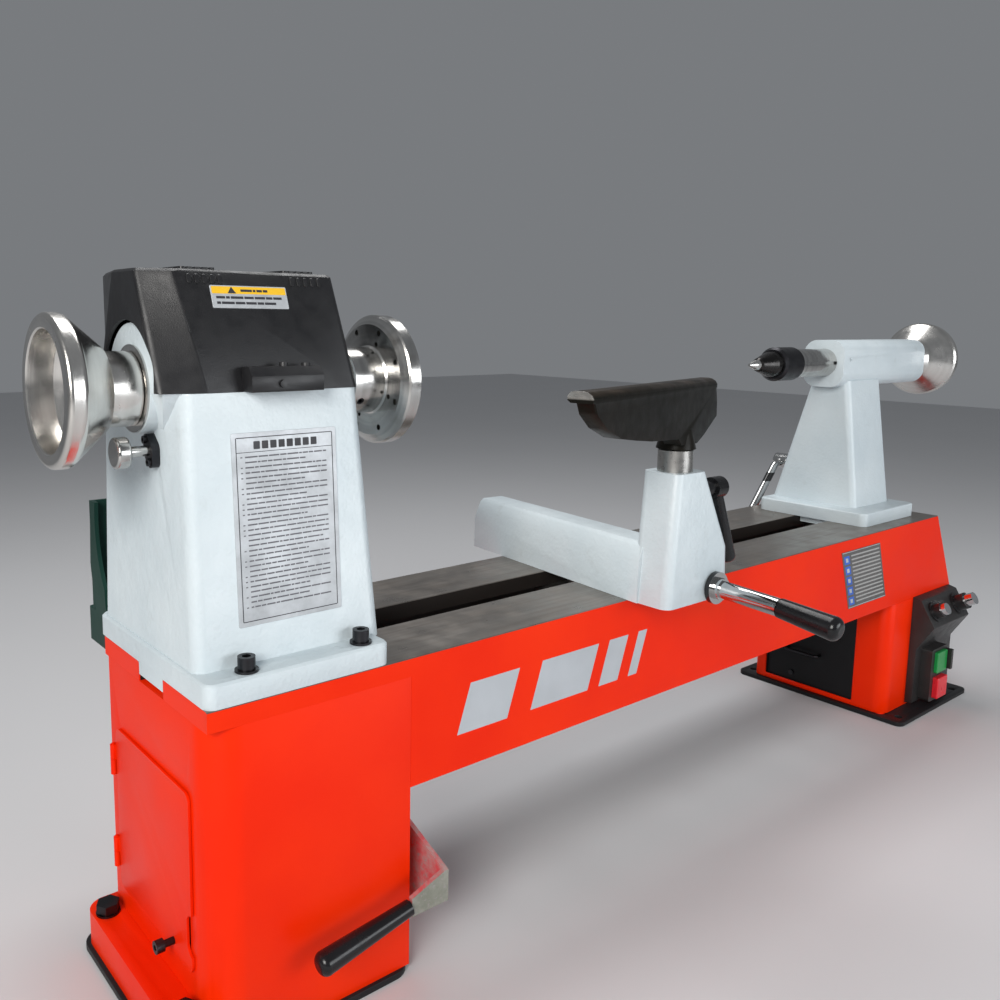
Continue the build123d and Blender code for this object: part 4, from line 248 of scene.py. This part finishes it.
# ---------------------------------------------------------------- materials
RED, DEEP_RED = (0.93, 0.030, 0.0), (0.85, 0.019, 0.0)
red = sprayed_paint("red_paint", RED, DEEP_RED)
black_paint = sprayed_paint("black_paint", (0.020, 0.020, 0.022), (0.012, 0.012, 0.013), 0.4)
green = sprayed_paint("green_paint", (0.012, 0.045, 0.034), (0.008, 0.030, 0.024), 0.42)
pale = cast_paint("pale_casting_paint")
polished = turned_steel("turned_steel")
wheel_steel = turned_steel("turned_cast_aluminium", (0.76, 0.74, 0.71), (0.62, 0.60, 0.57), 0.20,
                           grime=0.15)
bare_steel = plain_steel("bare_steel")
aluminium = plain_steel("cast_aluminium", (0.62, 0.62, 0.61), 0.34)
black_oxide = plain_steel("black_oxide", (0.055, 0.055, 0.06), 0.36)
chromed = chrome("chrome_plate")
collared = lever_chrome("chrome_with_black_collar",
                        lambda shader, out: shader.math("GREATER_THAN", out[1], HUB_FRONT))
banded = lever_chrome("chrome_with_black_band",
                      lambda shader, out: shader.math("MULTIPLY",
                                                      shader.math("LESS_THAN", out[2], TAIL_BAND[1]),
                                                      shader.math("GREATER_THAN", out[2], TAIL_BAND[0])))
lid_plastic = plastic("lid_plastic", (0.005, 0.005, 0.006), 0.42, 1100.0, 0.00025, shine=0.6)
grip_plastic = plastic("grip_plastic", (0.007, 0.007, 0.008), 0.24, 260.0, 0.00012, coat=0.1, shine=0.3)
console_plastic = plastic("console_plastic", (0.015, 0.014, 0.014), 0.42, 1000.0, 0.0002)
green_plastic = plastic("green_plastic", (0.006, 0.23, 0.045), 0.32, 500.0, 0.00008, coat=0.2, haze=1.25)
red_plastic = plastic("red_plastic", (0.62, 0.012, 0.022), 0.32, 500.0, 0.00008, coat=0.2, haze=1.2)
rubber = plastic("belt_rubber", (0.018, 0.018, 0.018), 0.7, 600.0, 0.0003)


def bed_material():
    """Red sides, near-black painted shade inside the bed between its side walls, and ways ground bare on top
    with cross-hatched scratches and oily stains.
    """
    shader = Shader("bed_red_and_ground_ways", Specular_IOR_Level=0.12)
    out = shader.axes()
    top = shader.math("MULTIPLY",
                      shader.math("GREATER_THAN", shader.facing((0, 0, 1)), 0.6),
                      shader.math("GREATER_THAN", out[2], BED_TOP_PAINT_LIMIT))
    cloud = shader.ramp(shader.noise(5.0, 4), 0.35, 0.68)
    paint = shader.mix(cloud, DEEP_RED, RED)
    # Painted shade: inside the bed, between its side walls, the red paint is turned near black for the shade
    # that falls in the hollow.
    from_middle = shader.math("ABSOLUTE", shader.math("SUBTRACT", out[0], BED_MIDDLE))
    painted_shade_inside = shader.math("MULTIPLY",
                         shader.math("LESS_THAN", from_middle, BED_INSIDE_REACH),
                         shader.math("LESS_THAN", shader.math("ABSOLUTE", out[1]), BED_INNER_WALL))
    paint = shader.mix(painted_shade_inside, paint, (0.022, 0.018, 0.016))
    patches = shader.ramp(shader.noise(9.0, 6, stretch=(0.5, 1.3, 1), rough=0.62), 0.3, 0.72)
    ground = shader.mix(patches, (0.235, 0.205, 0.180), (0.345, 0.320, 0.295))
    streaks = shader.ramp(shader.noise(150.0, 3, stretch=(0.05, 1, 1)), 0.35, 0.7, 0.0, 0.45)
    ground = shader.mix(streaks, ground, (0.16, 0.135, 0.115))
    spots = shader.ramp(shader.noise(48.0, 6, rough=0.75), 0.70, 0.78, 0.0, 0.6)
    ground = shader.mix(spots, ground, (0.10, 0.075, 0.055))
    shader.colour(shader.mix(top, paint, ground))
    shader.put(shader.bsdf.inputs["Metallic"], shader.math("MULTIPLY", top, 0.85))
    worn = shader.ramp(shader.noise(30.0, 5), 0.3, 0.7, 0.27, 0.46)
    glossy = shader.ramp(shader.noise(20.0, 2), 0.3, 0.7, 0.34, 0.42)
    shader.roughness(shader.math("ADD", shader.math("MULTIPLY", top, worn),
                                 shader.math("MULTIPLY", shader.math("SUBTRACT", 1.0, top), glossy)))
    peel_height = shader.math("MULTIPLY", shader.noise(620.0, 3), shader.math("SUBTRACT", 1.0, top))
    swell_height = shader.math("MULTIPLY", shader.noise(150.0, 2), shader.math("SUBTRACT", 1.0, top))
    scratch = shader.math("MULTIPLY", shader.noise(1400.0, 3, stretch=(0.03, 1, 1)), top)
    first = shader.bump(swell_height, 0.0005, 0.06)
    second = shader.bump(peel_height, 0.00025, 0.12, after=first)
    shader.normal(shader.bump(scratch, 0.00008, 0.5, after=second))
    return shader


def rest_material():
    """Black-brown painted iron, rubbed bare at the left end and lightly worn along the rail."""
    shader = Shader("tool_rest_iron", Specular_IOR_Level=0.13)
    out = shader.axes()
    from_swivel = shader.math("SUBTRACT", out[0], REST_CENTRE[0])
    sideways = shader.math("SUBTRACT", out[1], REST_CENTRE[1])
    along = shader.math("ADD", shader.math("MULTIPLY", from_swivel, math.cos(REST_TURN)),
                        shader.math("MULTIPLY", sideways, math.sin(REST_TURN)))
    end = shader.ramp(along, *REST_TIP, 1.0, 0.0)
    chips = shader.ramp(shader.noise(160.0, 4, rough=0.7), 0.28, 0.36)
    upper = shader.ramp(out[2], *WORN_LEVEL)
    bare = shader.math("MULTIPLY", shader.math("MULTIPLY", end, upper), chips, clamp=True)
    rail = shader.math("MULTIPLY", shader.ramp(out[2], *RAIL_LEVEL),
                       shader.ramp(shader.noise(70.0, 5, stretch=(0.25, 1, 1)), 0.38, 0.72, 0.2, 1.0))
    cloud = shader.ramp(shader.noise(17.0, 5), 0.3, 0.7)
    paint = shader.mix(cloud, (0.005, 0.0045, 0.003), (0.010, 0.0085, 0.006))
    paint = shader.mix(rail, paint, (0.045, 0.034, 0.026))
    shader.colour(shader.mix(bare, paint, (0.46, 0.44, 0.41)))
    shader.put(shader.bsdf.inputs["Metallic"], shader.math("MULTIPLY", bare, 0.95))
    shader.roughness(shader.ramp(shader.noise(60.0, 4), 0.3, 0.7, 0.30, 0.44))
    lumps = shader.bump(shader.noise(90.0, 3), 0.0012, 0.25)
    shader.normal(shader.bump(shader.noise(500.0, 2), 0.0003, 0.4, after=lumps))
    return shader


def primer_material():
    """Blotchy pink and grey primer on the tension lever's bent steel bar."""
    shader = Shader("blotchy_primer", Specular_IOR_Level=0.4)
    blotch = shader.ramp(shader.noise(34.0, 6, rough=0.7), 0.38, 0.62)
    specks = shader.ramp(shader.noise(170.0, 4, rough=0.7), 0.55, 0.68)
    base = shader.mix(blotch, (0.55, 0.085, 0.095), (0.42, 0.30, 0.29))
    grey = shader.mix(blotch, (0.20, 0.21, 0.17), (0.30, 0.30, 0.26))
    base = shader.mix(shader.ramp(shader.facing((0, -1, 0)), 0.55, 0.75), base, grey)
    shader.colour(shader.mix(specks, base, (0.30, 0.28, 0.27)))
    shader.roughness(shader.ramp(shader.noise(50.0, 4), 0.3, 0.7, 0.38, 0.6))
    shader.normal(shader.bump(shader.noise(240.0, 4), 0.0004, 0.5))
    return shader


def point_material():
    """Black live centre with a ground tip."""
    shader = Shader("live_centre_black_and_ground", Metallic=1.0)
    out = shader.axes()
    tip = shader.ramp(out[0], *CENTRE_TIP, 1.0, 0.0)
    profile = shader.node("ShaderNodeCombineXYZ", X=out[0], Y=spindle_radius(shader)).outputs[0]
    shader.colour(shader.mix(tip, (0.045, 0.043, 0.042), (0.62, 0.61, 0.59)))
    shader.roughness(shader.ramp(shader.noise(80.0, 4), 0.3, 0.7, 0.20, 0.34))
    shader.normal(shader.bump(shader.noise(900.0, 2, coords=profile), 0.00006, 0.6))
    return shader


def knob_material(name, height):
    """Black knob with a polished cap above a height over the sloping panel."""
    shader = Shader(name)
    from_panel = shader.vector("SUBTRACT", shader.place.outputs["Object"], PANEL_ORIGIN)
    over = shader.vector("DOT_PRODUCT", from_panel, PANEL_NORMAL)
    cap = shader.math("GREATER_THAN", over, height)
    cloud = shader.ramp(shader.noise(60.0, 4), 0.3, 0.7)
    black = shader.mix(cloud, (0.011, 0.011, 0.012), (0.019, 0.019, 0.02))
    shader.colour(shader.mix(cap, black, (0.80, 0.80, 0.81)))
    shader.put(shader.bsdf.inputs["Metallic"], cap)
    matte = shader.ramp(shader.noise(90.0, 4), 0.3, 0.7, 0.26, 0.36)
    shader.roughness(shader.math("SUBTRACT", matte, shader.math("MULTIPLY", cap, 0.18)))
    shader.normal(shader.bump(shader.noise(300.0, 2), 0.00008, 0.5))
    return shader


bed_red = bed_material()
rest_iron = rest_material()
primer = primer_material()
point_steel = point_material()
low_knob = knob_material("direction_knob_black_and_chrome", LOW_CAP)
tall_knob = knob_material("speed_knob_black_and_chrome", TALL_CAP)

FINISH = {
    red: ["left_cabinet", "access_door", "door_hinges", "right_leg"],
    bed_red: ["bed"],
    black_paint: ["left_base_pad", "right_leg_cover", "right_base_plate", "inverter", "lid_hinge",
                  "motor_body"],
    green: ["outboard_bracket", "rear_guard"],
    pale: ["headstock_casting", "banjo_casting", "tailstock_casting"],
    polished: ["spindle", "faceplate", "quill", "index_pin", "bearing_retainers"],
    wheel_steel: ["handwheel", "tailstock_handwheel"],
    bare_steel: ["spindle_bearings", "banjo_clamp", "banjo_slide_block", "tool_post", "tailstock_clamp"],
    aluminium: ["spindle_pulley", "motor_pulley"],
    black_oxide: ["cabinet_foot_bolts", "index_pin_flange", "door_screw", "cover_handle", "headstock_bolts",
                  "faceplate_screws", "live_centre_body"],
    chromed: ["quill_lock"],
    collared: ["banjo_lever"],
    banded: ["tailstock_lever"],
    lid_plastic: ["lid", "lid_latch"],
    grip_plastic: ["tension_grip", "banjo_grip", "tool_post_lever", "tailstock_grip"],
    low_knob: ["direction_knob"],
    tall_knob: ["speed_knob"],
    console_plastic: ["control_console", "switch_module"],
    green_plastic: ["green_button"],
    red_plastic: ["red_button"],
    rubber: ["drive_belt"],
    rest_iron: ["tool_rest"],
    primer: ["tension_lever", "motor_cradle"],
    point_steel: ["live_centre_point"],
}
for shader, names in FINISH.items():
    for name in names:
        mesh = nodes[name].data
        mesh.materials.clear()
        mesh.materials.append(shader.material)


# ---------------------------------------------------------------- softened edges on the CAD pieces
SHARP = 32  # degrees between two faces from which their edge is rounded


def soften(width, *names):
    """Rounds off a node's sharp edges, as paint and casting do."""
    for name in names:
        node = nodes[name]
        weld = node.modifiers.new("join", "WELD")
        weld.merge_threshold = 0.00001
        flat = node.modifiers.new("planes", "DECIMATE")
        flat.decimate_type = "DISSOLVE"
        flat.angle_limit = math.radians(0.5)
        edges = node.modifiers.new("edges", "BEVEL")
        edges.width = width
        edges.segments = 3
        edges.limit_method = "ANGLE"
        edges.angle_limit = math.radians(SHARP)
        edges.harden_normals = True
        edges.use_clamp_overlap = True
        for face in node.data.polygons:
            face.use_smooth = True


soften(0.0045, "headstock_casting", "tailstock_casting", "banjo_casting")
soften(0.0035, "lid", "right_leg")
soften(0.0018, "left_cabinet", "control_console", "tool_rest")
soften(0.0008, "access_door", "lid_latch", "left_base_pad", "right_base_plate")


# ---------------------------------------------------------------- pieces built here
class Piece:
    """A mesh gathered from prisms, each in a local frame of across, up and outward axes."""

    def __init__(self, name, *shaders):
        self.name, self.shaders = name, shaders
        self.mesh = bmesh.new()

    def prism(self, place, outline, low, high, finish=0, crown=0.0):
        """A closed prism over an outline; with a crown its outer face is drawn in by that much."""
        middle = Vector((sum(p[0] for p in outline), sum(p[1] for p in outline))) / len(outline)
        rings = []
        levels = [(low, 0.0), (high, 0.0)] if not crown else [(low, 0.0), (high - crown, 0.0), (high, crown)]
        for level, draw in levels:
            ring = []
            for u, v in outline:
                away = Vector((u, v)) - middle
                spot = Vector((u, v)) - away.normalized() * draw
                ring.append(self.mesh.verts.new(place @ Vector((spot.x, spot.y, level))))
            rings.append(ring)
        count = len(outline)
        faces = [self.mesh.faces.new(rings[0][::-1]), self.mesh.faces.new(rings[-1])]
        for lower, upper in zip(rings, rings[1:]):
            for k in range(count):
                after = (k + 1) % count
                faces.append(self.mesh.faces.new((lower[k], lower[after], upper[after], upper[k])))
        for face in faces:
            face.material_index = finish

    def slab(self, place, centre, across, tall, low, high, finish=0, corner=0.0, crown=0.0):
        self.prism(place, rounded(centre, across, tall, corner), low, high, finish, crown)

    def done(self, body, slot, *replaced):
        bmesh.ops.recalc_face_normals(self.mesh, faces=self.mesh.faces)
        data = bpy.data.meshes.new(self.name)
        self.mesh.to_mesh(data)
        self.mesh.free()
        for shader in self.shaders:
            data.materials.append(shader.material)
        made = bpy.data.objects.new(self.name, data)
        scene.collection.objects.link(made)
        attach(made, body)
        if replaced:
            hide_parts(*replaced)


def rounded(centre, across, tall, corner):
    """The outline of a rectangle, with rounded corners where corner is more than nothing."""
    half_u, half_v = across / 2, tall / 2
    if corner <= 0:
        spots = [(-half_u, -half_v), (half_u, -half_v), (half_u, half_v), (-half_u, half_v)]
    else:
        spots = []
        for quarter, (su, sv) in enumerate([(1, 1), (-1, 1), (-1, -1), (1, -1)]):
            for k in range(CORNER_STEPS + 1):
                turn = math.radians(90 * (quarter + k / CORNER_STEPS))
                spots.append((su * (half_u - corner) + corner * math.cos(turn),
                              sv * (half_v - corner) + corner * math.sin(turn)))
    return [(centre[0] + u, centre[1] + v) for u, v in spots]


def lying_on(origin, across, upward):
    """A local frame on a face, from a point on it and its two directions."""
    across, upward = Vector(across).normalized(), Vector(upward).normalized()
    outward = across.cross(upward)
    return Matrix((
        (across.x, upward.x, outward.x, origin[0]),
        (across.y, upward.y, outward.y, origin[1]),
        (across.z, upward.z, outward.z, origin[2]),
        (0, 0, 0, 1),
    ))


def bars(piece, place, left, right, v, tall, low, finish, seed):
    """A row of short dark bars standing for a printed line, with no letters in it."""
    u = left
    step = seed
    while u < right - 0.002:
        step = (step * 7 + 3) % 11
        word = min(0.003 + 0.0011 * step, right - u)
        piece.slab(place, (u + word / 2, v), word, tall, low, low + INK, finish)
        u += word + 0.0011


sheet_silver = plain_steel("printed_silver_sheet", (0.60, 0.63, 0.66), 0.42)
sheet_silver.bsdf.inputs["Metallic"].default_value = 0.25
sheet_dark = plain_steel("printed_dark_sheet", (0.19, 0.185, 0.18), 0.45)
sheet_dark.bsdf.inputs["Metallic"].default_value = 0.5
ink = plastic("printing_ink", (0.022, 0.022, 0.026), 0.5, 300.0, 0.00002)
grey_ink = plastic("grey_printing_ink", (0.09, 0.09, 0.10), 0.5, 300.0, 0.00002)
pale_ink = plastic("pale_printing_ink", (0.36, 0.36, 0.35), 0.5, 300.0, 0.00002, haze=1.1)
yellow_ink = plastic("yellow_printing_ink", (0.85, 0.50, 0.02), 0.42, 300.0, 0.00002, haze=1.05)
blue_ink = plastic("blue_printing_ink", (0.03, 0.10, 0.42), 0.45, 300.0, 0.00002)
vinyl = plastic("grey_vinyl", (0.42, 0.45, 0.48), 0.38, 500.0, 0.00005, haze=1.15)

# the warning sheet on the column
column = lying_on((0, -0.104, 0.401), (1, 0, 0), (0, 0.016, 0.278))
PLATE_U, PLATE_V, PLATE_W, PLATE_H, PLATE_T = 0.006, 0.140, 0.122, 0.196, SHEET_THICKNESS
BORDER, MARGIN = 0.0009, 0.005  # width of the printed frame, and its distance from the edge
HEADER_BLOCKS, HEADER_PITCH, HEADER_START, HEADER_RISE = 8, 0.0095, -0.033, 0.0850
HEADER_BLOCK, HEADER_CORNER = (0.0072, 0.0080), 0.0008  # a block's width and height, and its corners
RULE_RISE, RULE_HEIGHT = 0.0783, 0.0006  # the line under the header
LINE_START, LINE_PITCH, LINE_HEIGHT = 0.0735, 0.00525, 0.0015
NUMBER_U, NUMBER_DASH = -0.0505, (0.0022, 0.0012)  # the dash in place of an item's number
TEXT_LEFT, TEXT_RIGHT, SHORTER = -0.0465, 0.050, 0.009  # the last line of an item ends earlier
sheet = Piece("column_sheet", sheet_silver, ink, grey_ink)
sheet.slab(column, (PLATE_U, PLATE_V), PLATE_W, PLATE_H, 0.0, PLATE_T, 0, 0.002, 0.0003)
for side in (-1, 1):
    sheet.slab(column, (PLATE_U + side * (PLATE_W / 2 - MARGIN), PLATE_V), BORDER, PLATE_H - 2 * MARGIN,
               PLATE_T, PLATE_T + INK, 1)
    sheet.slab(column, (PLATE_U, PLATE_V + side * (PLATE_H / 2 - MARGIN)), PLATE_W - 2 * MARGIN - BORDER,
               BORDER, PLATE_T, PLATE_T + INK, 1)
for k in range(HEADER_BLOCKS):
    sheet.slab(column, (PLATE_U + HEADER_START + HEADER_PITCH * k, PLATE_V + HEADER_RISE), *HEADER_BLOCK,
               PLATE_T, PLATE_T + INK, 1, HEADER_CORNER)
sheet.slab(column, (PLATE_U, PLATE_V + RULE_RISE), PLATE_W - 2 * MARGIN - BORDER, RULE_HEIGHT,
           PLATE_T, PLATE_T + INK, 1)
ITEM_LINES = (2, 1, 1, 2, 1, 2, 1, 1, 2, 1, 1, 3, 2, 1, 2, 1, 1, 2, 2, 1)
v = PLATE_V + LINE_START
for item, count in enumerate(ITEM_LINES):
    sheet.slab(column, (PLATE_U + NUMBER_U, v), *NUMBER_DASH, PLATE_T, PLATE_T + INK, 2)
    for line in range(count):
        last = line == count - 1
        reach = TEXT_RIGHT - SHORTER * ((item * 5 + line * 3) % 5 if last else 0)
        bars(sheet, column, PLATE_U + TEXT_LEFT, PLATE_U + reach, v, LINE_HEIGHT, PLATE_T, 2,
             item + 3 * line + 1)
        v -= LINE_PITCH
sheet.done("stand", "plate_metal", "information_plates")

# the data plate on the bed
bed_face = lying_on((1.076, -0.137, 0.359), (1, 0, 0), (0, 0, 1))
DATA_W, DATA_H, SLANT = 0.136, 0.107, 0.038 / 0.107
DATA_T, SIGN_TOP = SHEET_THICKNESS, SHEET_THICKNESS + 0.00022
ROWS, ROW_PITCH, ROW_HEIGHT, FIRST_ROW = 13, 0.0073, 0.0028, 0.008
SIGNS, SIGN_PITCH, SIGN_HEIGHT = 5, 0.0195, 0.0155
plate = Piece("bed_data_plate", sheet_dark, pale_ink, blue_ink, sheet_silver)


def leaning(u0, u1, v0, v1):
    """A strip of the slanted plate between two distances across it and two down it."""
    return [(u0 + v1 * SLANT, -v1), (u1 + v1 * SLANT, -v1), (u1 + v0 * SLANT, -v0), (u0 + v0 * SLANT, -v0)]


plate.prism(bed_face, leaning(0, DATA_W, 0, DATA_H), 0, DATA_T, 0)
for v0 in (0.001, DATA_H - 0.0022):
    plate.prism(bed_face, leaning(0.001, DATA_W - 0.001, v0, v0 + 0.0012), DATA_T, DATA_T + INK, 3)
for k in range(ROWS):
    v0 = FIRST_ROW + ROW_PITCH * k
    plate.prism(bed_face, leaning(0.030, 0.131, v0, v0 + ROW_HEIGHT), DATA_T, DATA_T + INK, 1)
for k in range(SIGNS):
    v0 = FIRST_ROW + SIGN_PITCH * k
    plate.prism(bed_face, leaning(0.005, 0.023, v0, v0 + SIGN_HEIGHT), DATA_T, DATA_T + INK, 2)
    plate.prism(bed_face, leaning(0.010, 0.018, v0 + 0.004, v0 + SIGN_HEIGHT - 0.004),
                DATA_T + INK, SIGN_TOP, 3)
plate.done("stand", "plate_metal")

# the label on the lid: a yellow band with a warning triangle, over a silver band
lid_face = lying_on((0, -0.0885, 0.6793), (1, 0, 0), (0, 0.0435, 0.1197))
LABEL_U, LABEL_V, LABEL_T = -0.012, 0.099, SHEET_THICKNESS
LABEL_W, LABEL_H, BAND_W, BAND_H = 0.086, 0.024, 0.0836, 0.0076
BAND_RISE = 0.0070  # middle of the yellow band over the middle of the label
SIGN_HALF, SIGN_BASE, SIGN_PEAK = 0.0048, 0.0034, 0.0036  # the triangle's half width, and below and above
TEXT_HEIGHT = 0.0026
label = Piece("lid_label", sheet_silver, yellow_ink, ink)
label.slab(lid_face, (LABEL_U, LABEL_V), LABEL_W, LABEL_H, 0.0, LABEL_T, 0, 0.001, 0.0002)
label.slab(lid_face, (LABEL_U, LABEL_V + BAND_RISE), BAND_W, BAND_H, LABEL_T, LABEL_T + INK, 1, 0.0006)
sign_u, sign_v = LABEL_U - 0.020, LABEL_V + BAND_RISE
label.prism(lid_face, [(sign_u - SIGN_HALF, sign_v - SIGN_BASE), (sign_u + SIGN_HALF, sign_v - SIGN_BASE),
                       (sign_u, sign_v + SIGN_PEAK)], LABEL_T + INK, LABEL_T + 2 * INK, 2)
LABEL_LINES = (  # left end, right end, height over the middle, underside and first word of each line
    (-0.010, 0.022, 0.0068, LABEL_T + INK, 4),
    (-0.038, 0.036, -0.0008, LABEL_T, 2),
    (-0.038, 0.030, -0.0066, LABEL_T, 6),
)
for left, right_end, rise, under, first in LABEL_LINES:
    bars(label, lid_face, LABEL_U + left, LABEL_U + right_end, LABEL_V + rise, TEXT_HEIGHT, under, 2, first)
label.done("lid_body", "plate_metal", "lid_plate")

# the ends of the lid's moulded ribs, running over its front edge
RIB_WIDTH, RIB_PITCH, RIB_LENGTH, RIB_PROUD = 0.0046, 0.0083, 0.0098, 0.0013
RIB_MIDDLE, RIB_ROOT = 0.1175, -0.0003  # up the lid's front face, and down into it
ribs = Piece("lid_ribs", lid_plastic)
RIB_CORNER, RIB_CROWN = 0.0018, 0.0007
RIB_COUNT, RIB_GROUPS = 5, (-0.0757, 0.0403)  # ribs in a group, and where each group starts
for left in RIB_GROUPS:
    for number in range(RIB_COUNT):
        ribs.slab(lid_face, (left + RIB_PITCH * number, RIB_MIDDLE), RIB_WIDTH, RIB_LENGTH,
                  RIB_ROOT, RIB_PROUD, 0, RIB_CORNER, RIB_CROWN)
ribs.done("lid_body", "lid_plastic")

# plain slanted vinyl stripes on the front of the bed
bed_front = lying_on((0, -0.137, 0.30), (1, 0, 0), (0, 0, 1))
stripes = Piece("bed_stripes", vinyl)
STRIPE_HALF, STRIPE_LEAN, STRIPE_T = 0.030, 0.020, 0.0002
STRIPE_ENDS = ((0.205, 0.285), (0.325, 0.430), (0.452, 0.490), (0.512, 0.530))
for u0, u1 in STRIPE_ENDS:
    stripes.prism(bed_front, [(u0, -STRIPE_HALF), (u1, -STRIPE_HALF),
                              (u1 + STRIPE_LEAN, STRIPE_HALF), (u0 + STRIPE_LEAN, STRIPE_HALF)],
                  0, STRIPE_T, 0)
stripes.done("stand", "plate_metal")

# ---------------------------------------------------------------- camera, floor and light
camera_data = bpy.data.cameras.new("camera")
camera_data.sensor_width = 36.0
camera_data.lens = 33.43
camera_data.shift_x, camera_data.shift_y = 0.0793, -0.0452
camera_data.clip_end = 50.0
camera = bpy.data.objects.new("camera", camera_data)
scene.collection.objects.link(camera)
eye = Vector((-0.4677, -0.9186, 0.7500))
right = Vector((0.78693, -0.61697, 0.00938))
up = Vector((0.08052, 0.11775, 0.98977))
back = right.cross(up)
camera.matrix_world = Matrix((
    (right.x, up.x, back.x, eye.x),
    (right.y, up.y, back.y, eye.y),
    (right.z, up.z, back.z, eye.z),
    (0, 0, 0, 1),
))
scene.camera = camera

floor_mesh = bpy.data.meshes.new("floor")
REACH = 9  # half the floor's width
floor_mesh.from_pydata([(-REACH, -REACH, 0), (REACH, -REACH, 0), (REACH, REACH, 0), (-REACH, REACH, 0)],
                       [], [(0, 1, 2, 3)])
floor = bpy.data.objects.new("floor", floor_mesh)
scene.collection.objects.link(floor)
floor_paint = Shader("floor_paint", Roughness=0.75)
floor_paint.colour(floor_paint.mix(floor_paint.noise(1.5, 3), (0.60, 0.60, 0.61), (0.63, 0.63, 0.64)))
floor_mesh.materials.append(floor_paint.material)

scene.world = bpy.data.worlds.new("studio")
scene.world.use_nodes = True
background = scene.world.node_tree.nodes["Background"]
background.inputs[0].default_value = (0.86, 0.90, 0.95, 1)
background.inputs[1].default_value = 0.22


def softbox(name, place, target, width, height, power, tint=(1, 1, 1)):
    light = bpy.data.lights.new(name, "AREA")
    light.shape = "RECTANGLE"
    light.size, light.size_y = width, height
    light.energy = power
    light.color = tint
    lamp = bpy.data.objects.new(name, light)
    lamp.location = place
    lamp.rotation_euler = (Vector(target) - Vector(place)).to_track_quat("-Z", "Y").to_euler()
    scene.collection.objects.link(lamp)


softbox("key", (-2.3, -1.7, 1.9), (0.2, 0, 0.4), 1.5, 1.5, 92, (1.0, 0.98, 0.95))
softbox("front_fill", (1.8, -3.2, 0.95), (0.8, 0, 0.4), 2.0, 1.4, 44, (0.94, 0.97, 1.0))
softbox("overhead", (0.8, 0.9, 2.8), (0.7, 0, 0.5), 2.2, 1.0, 40)
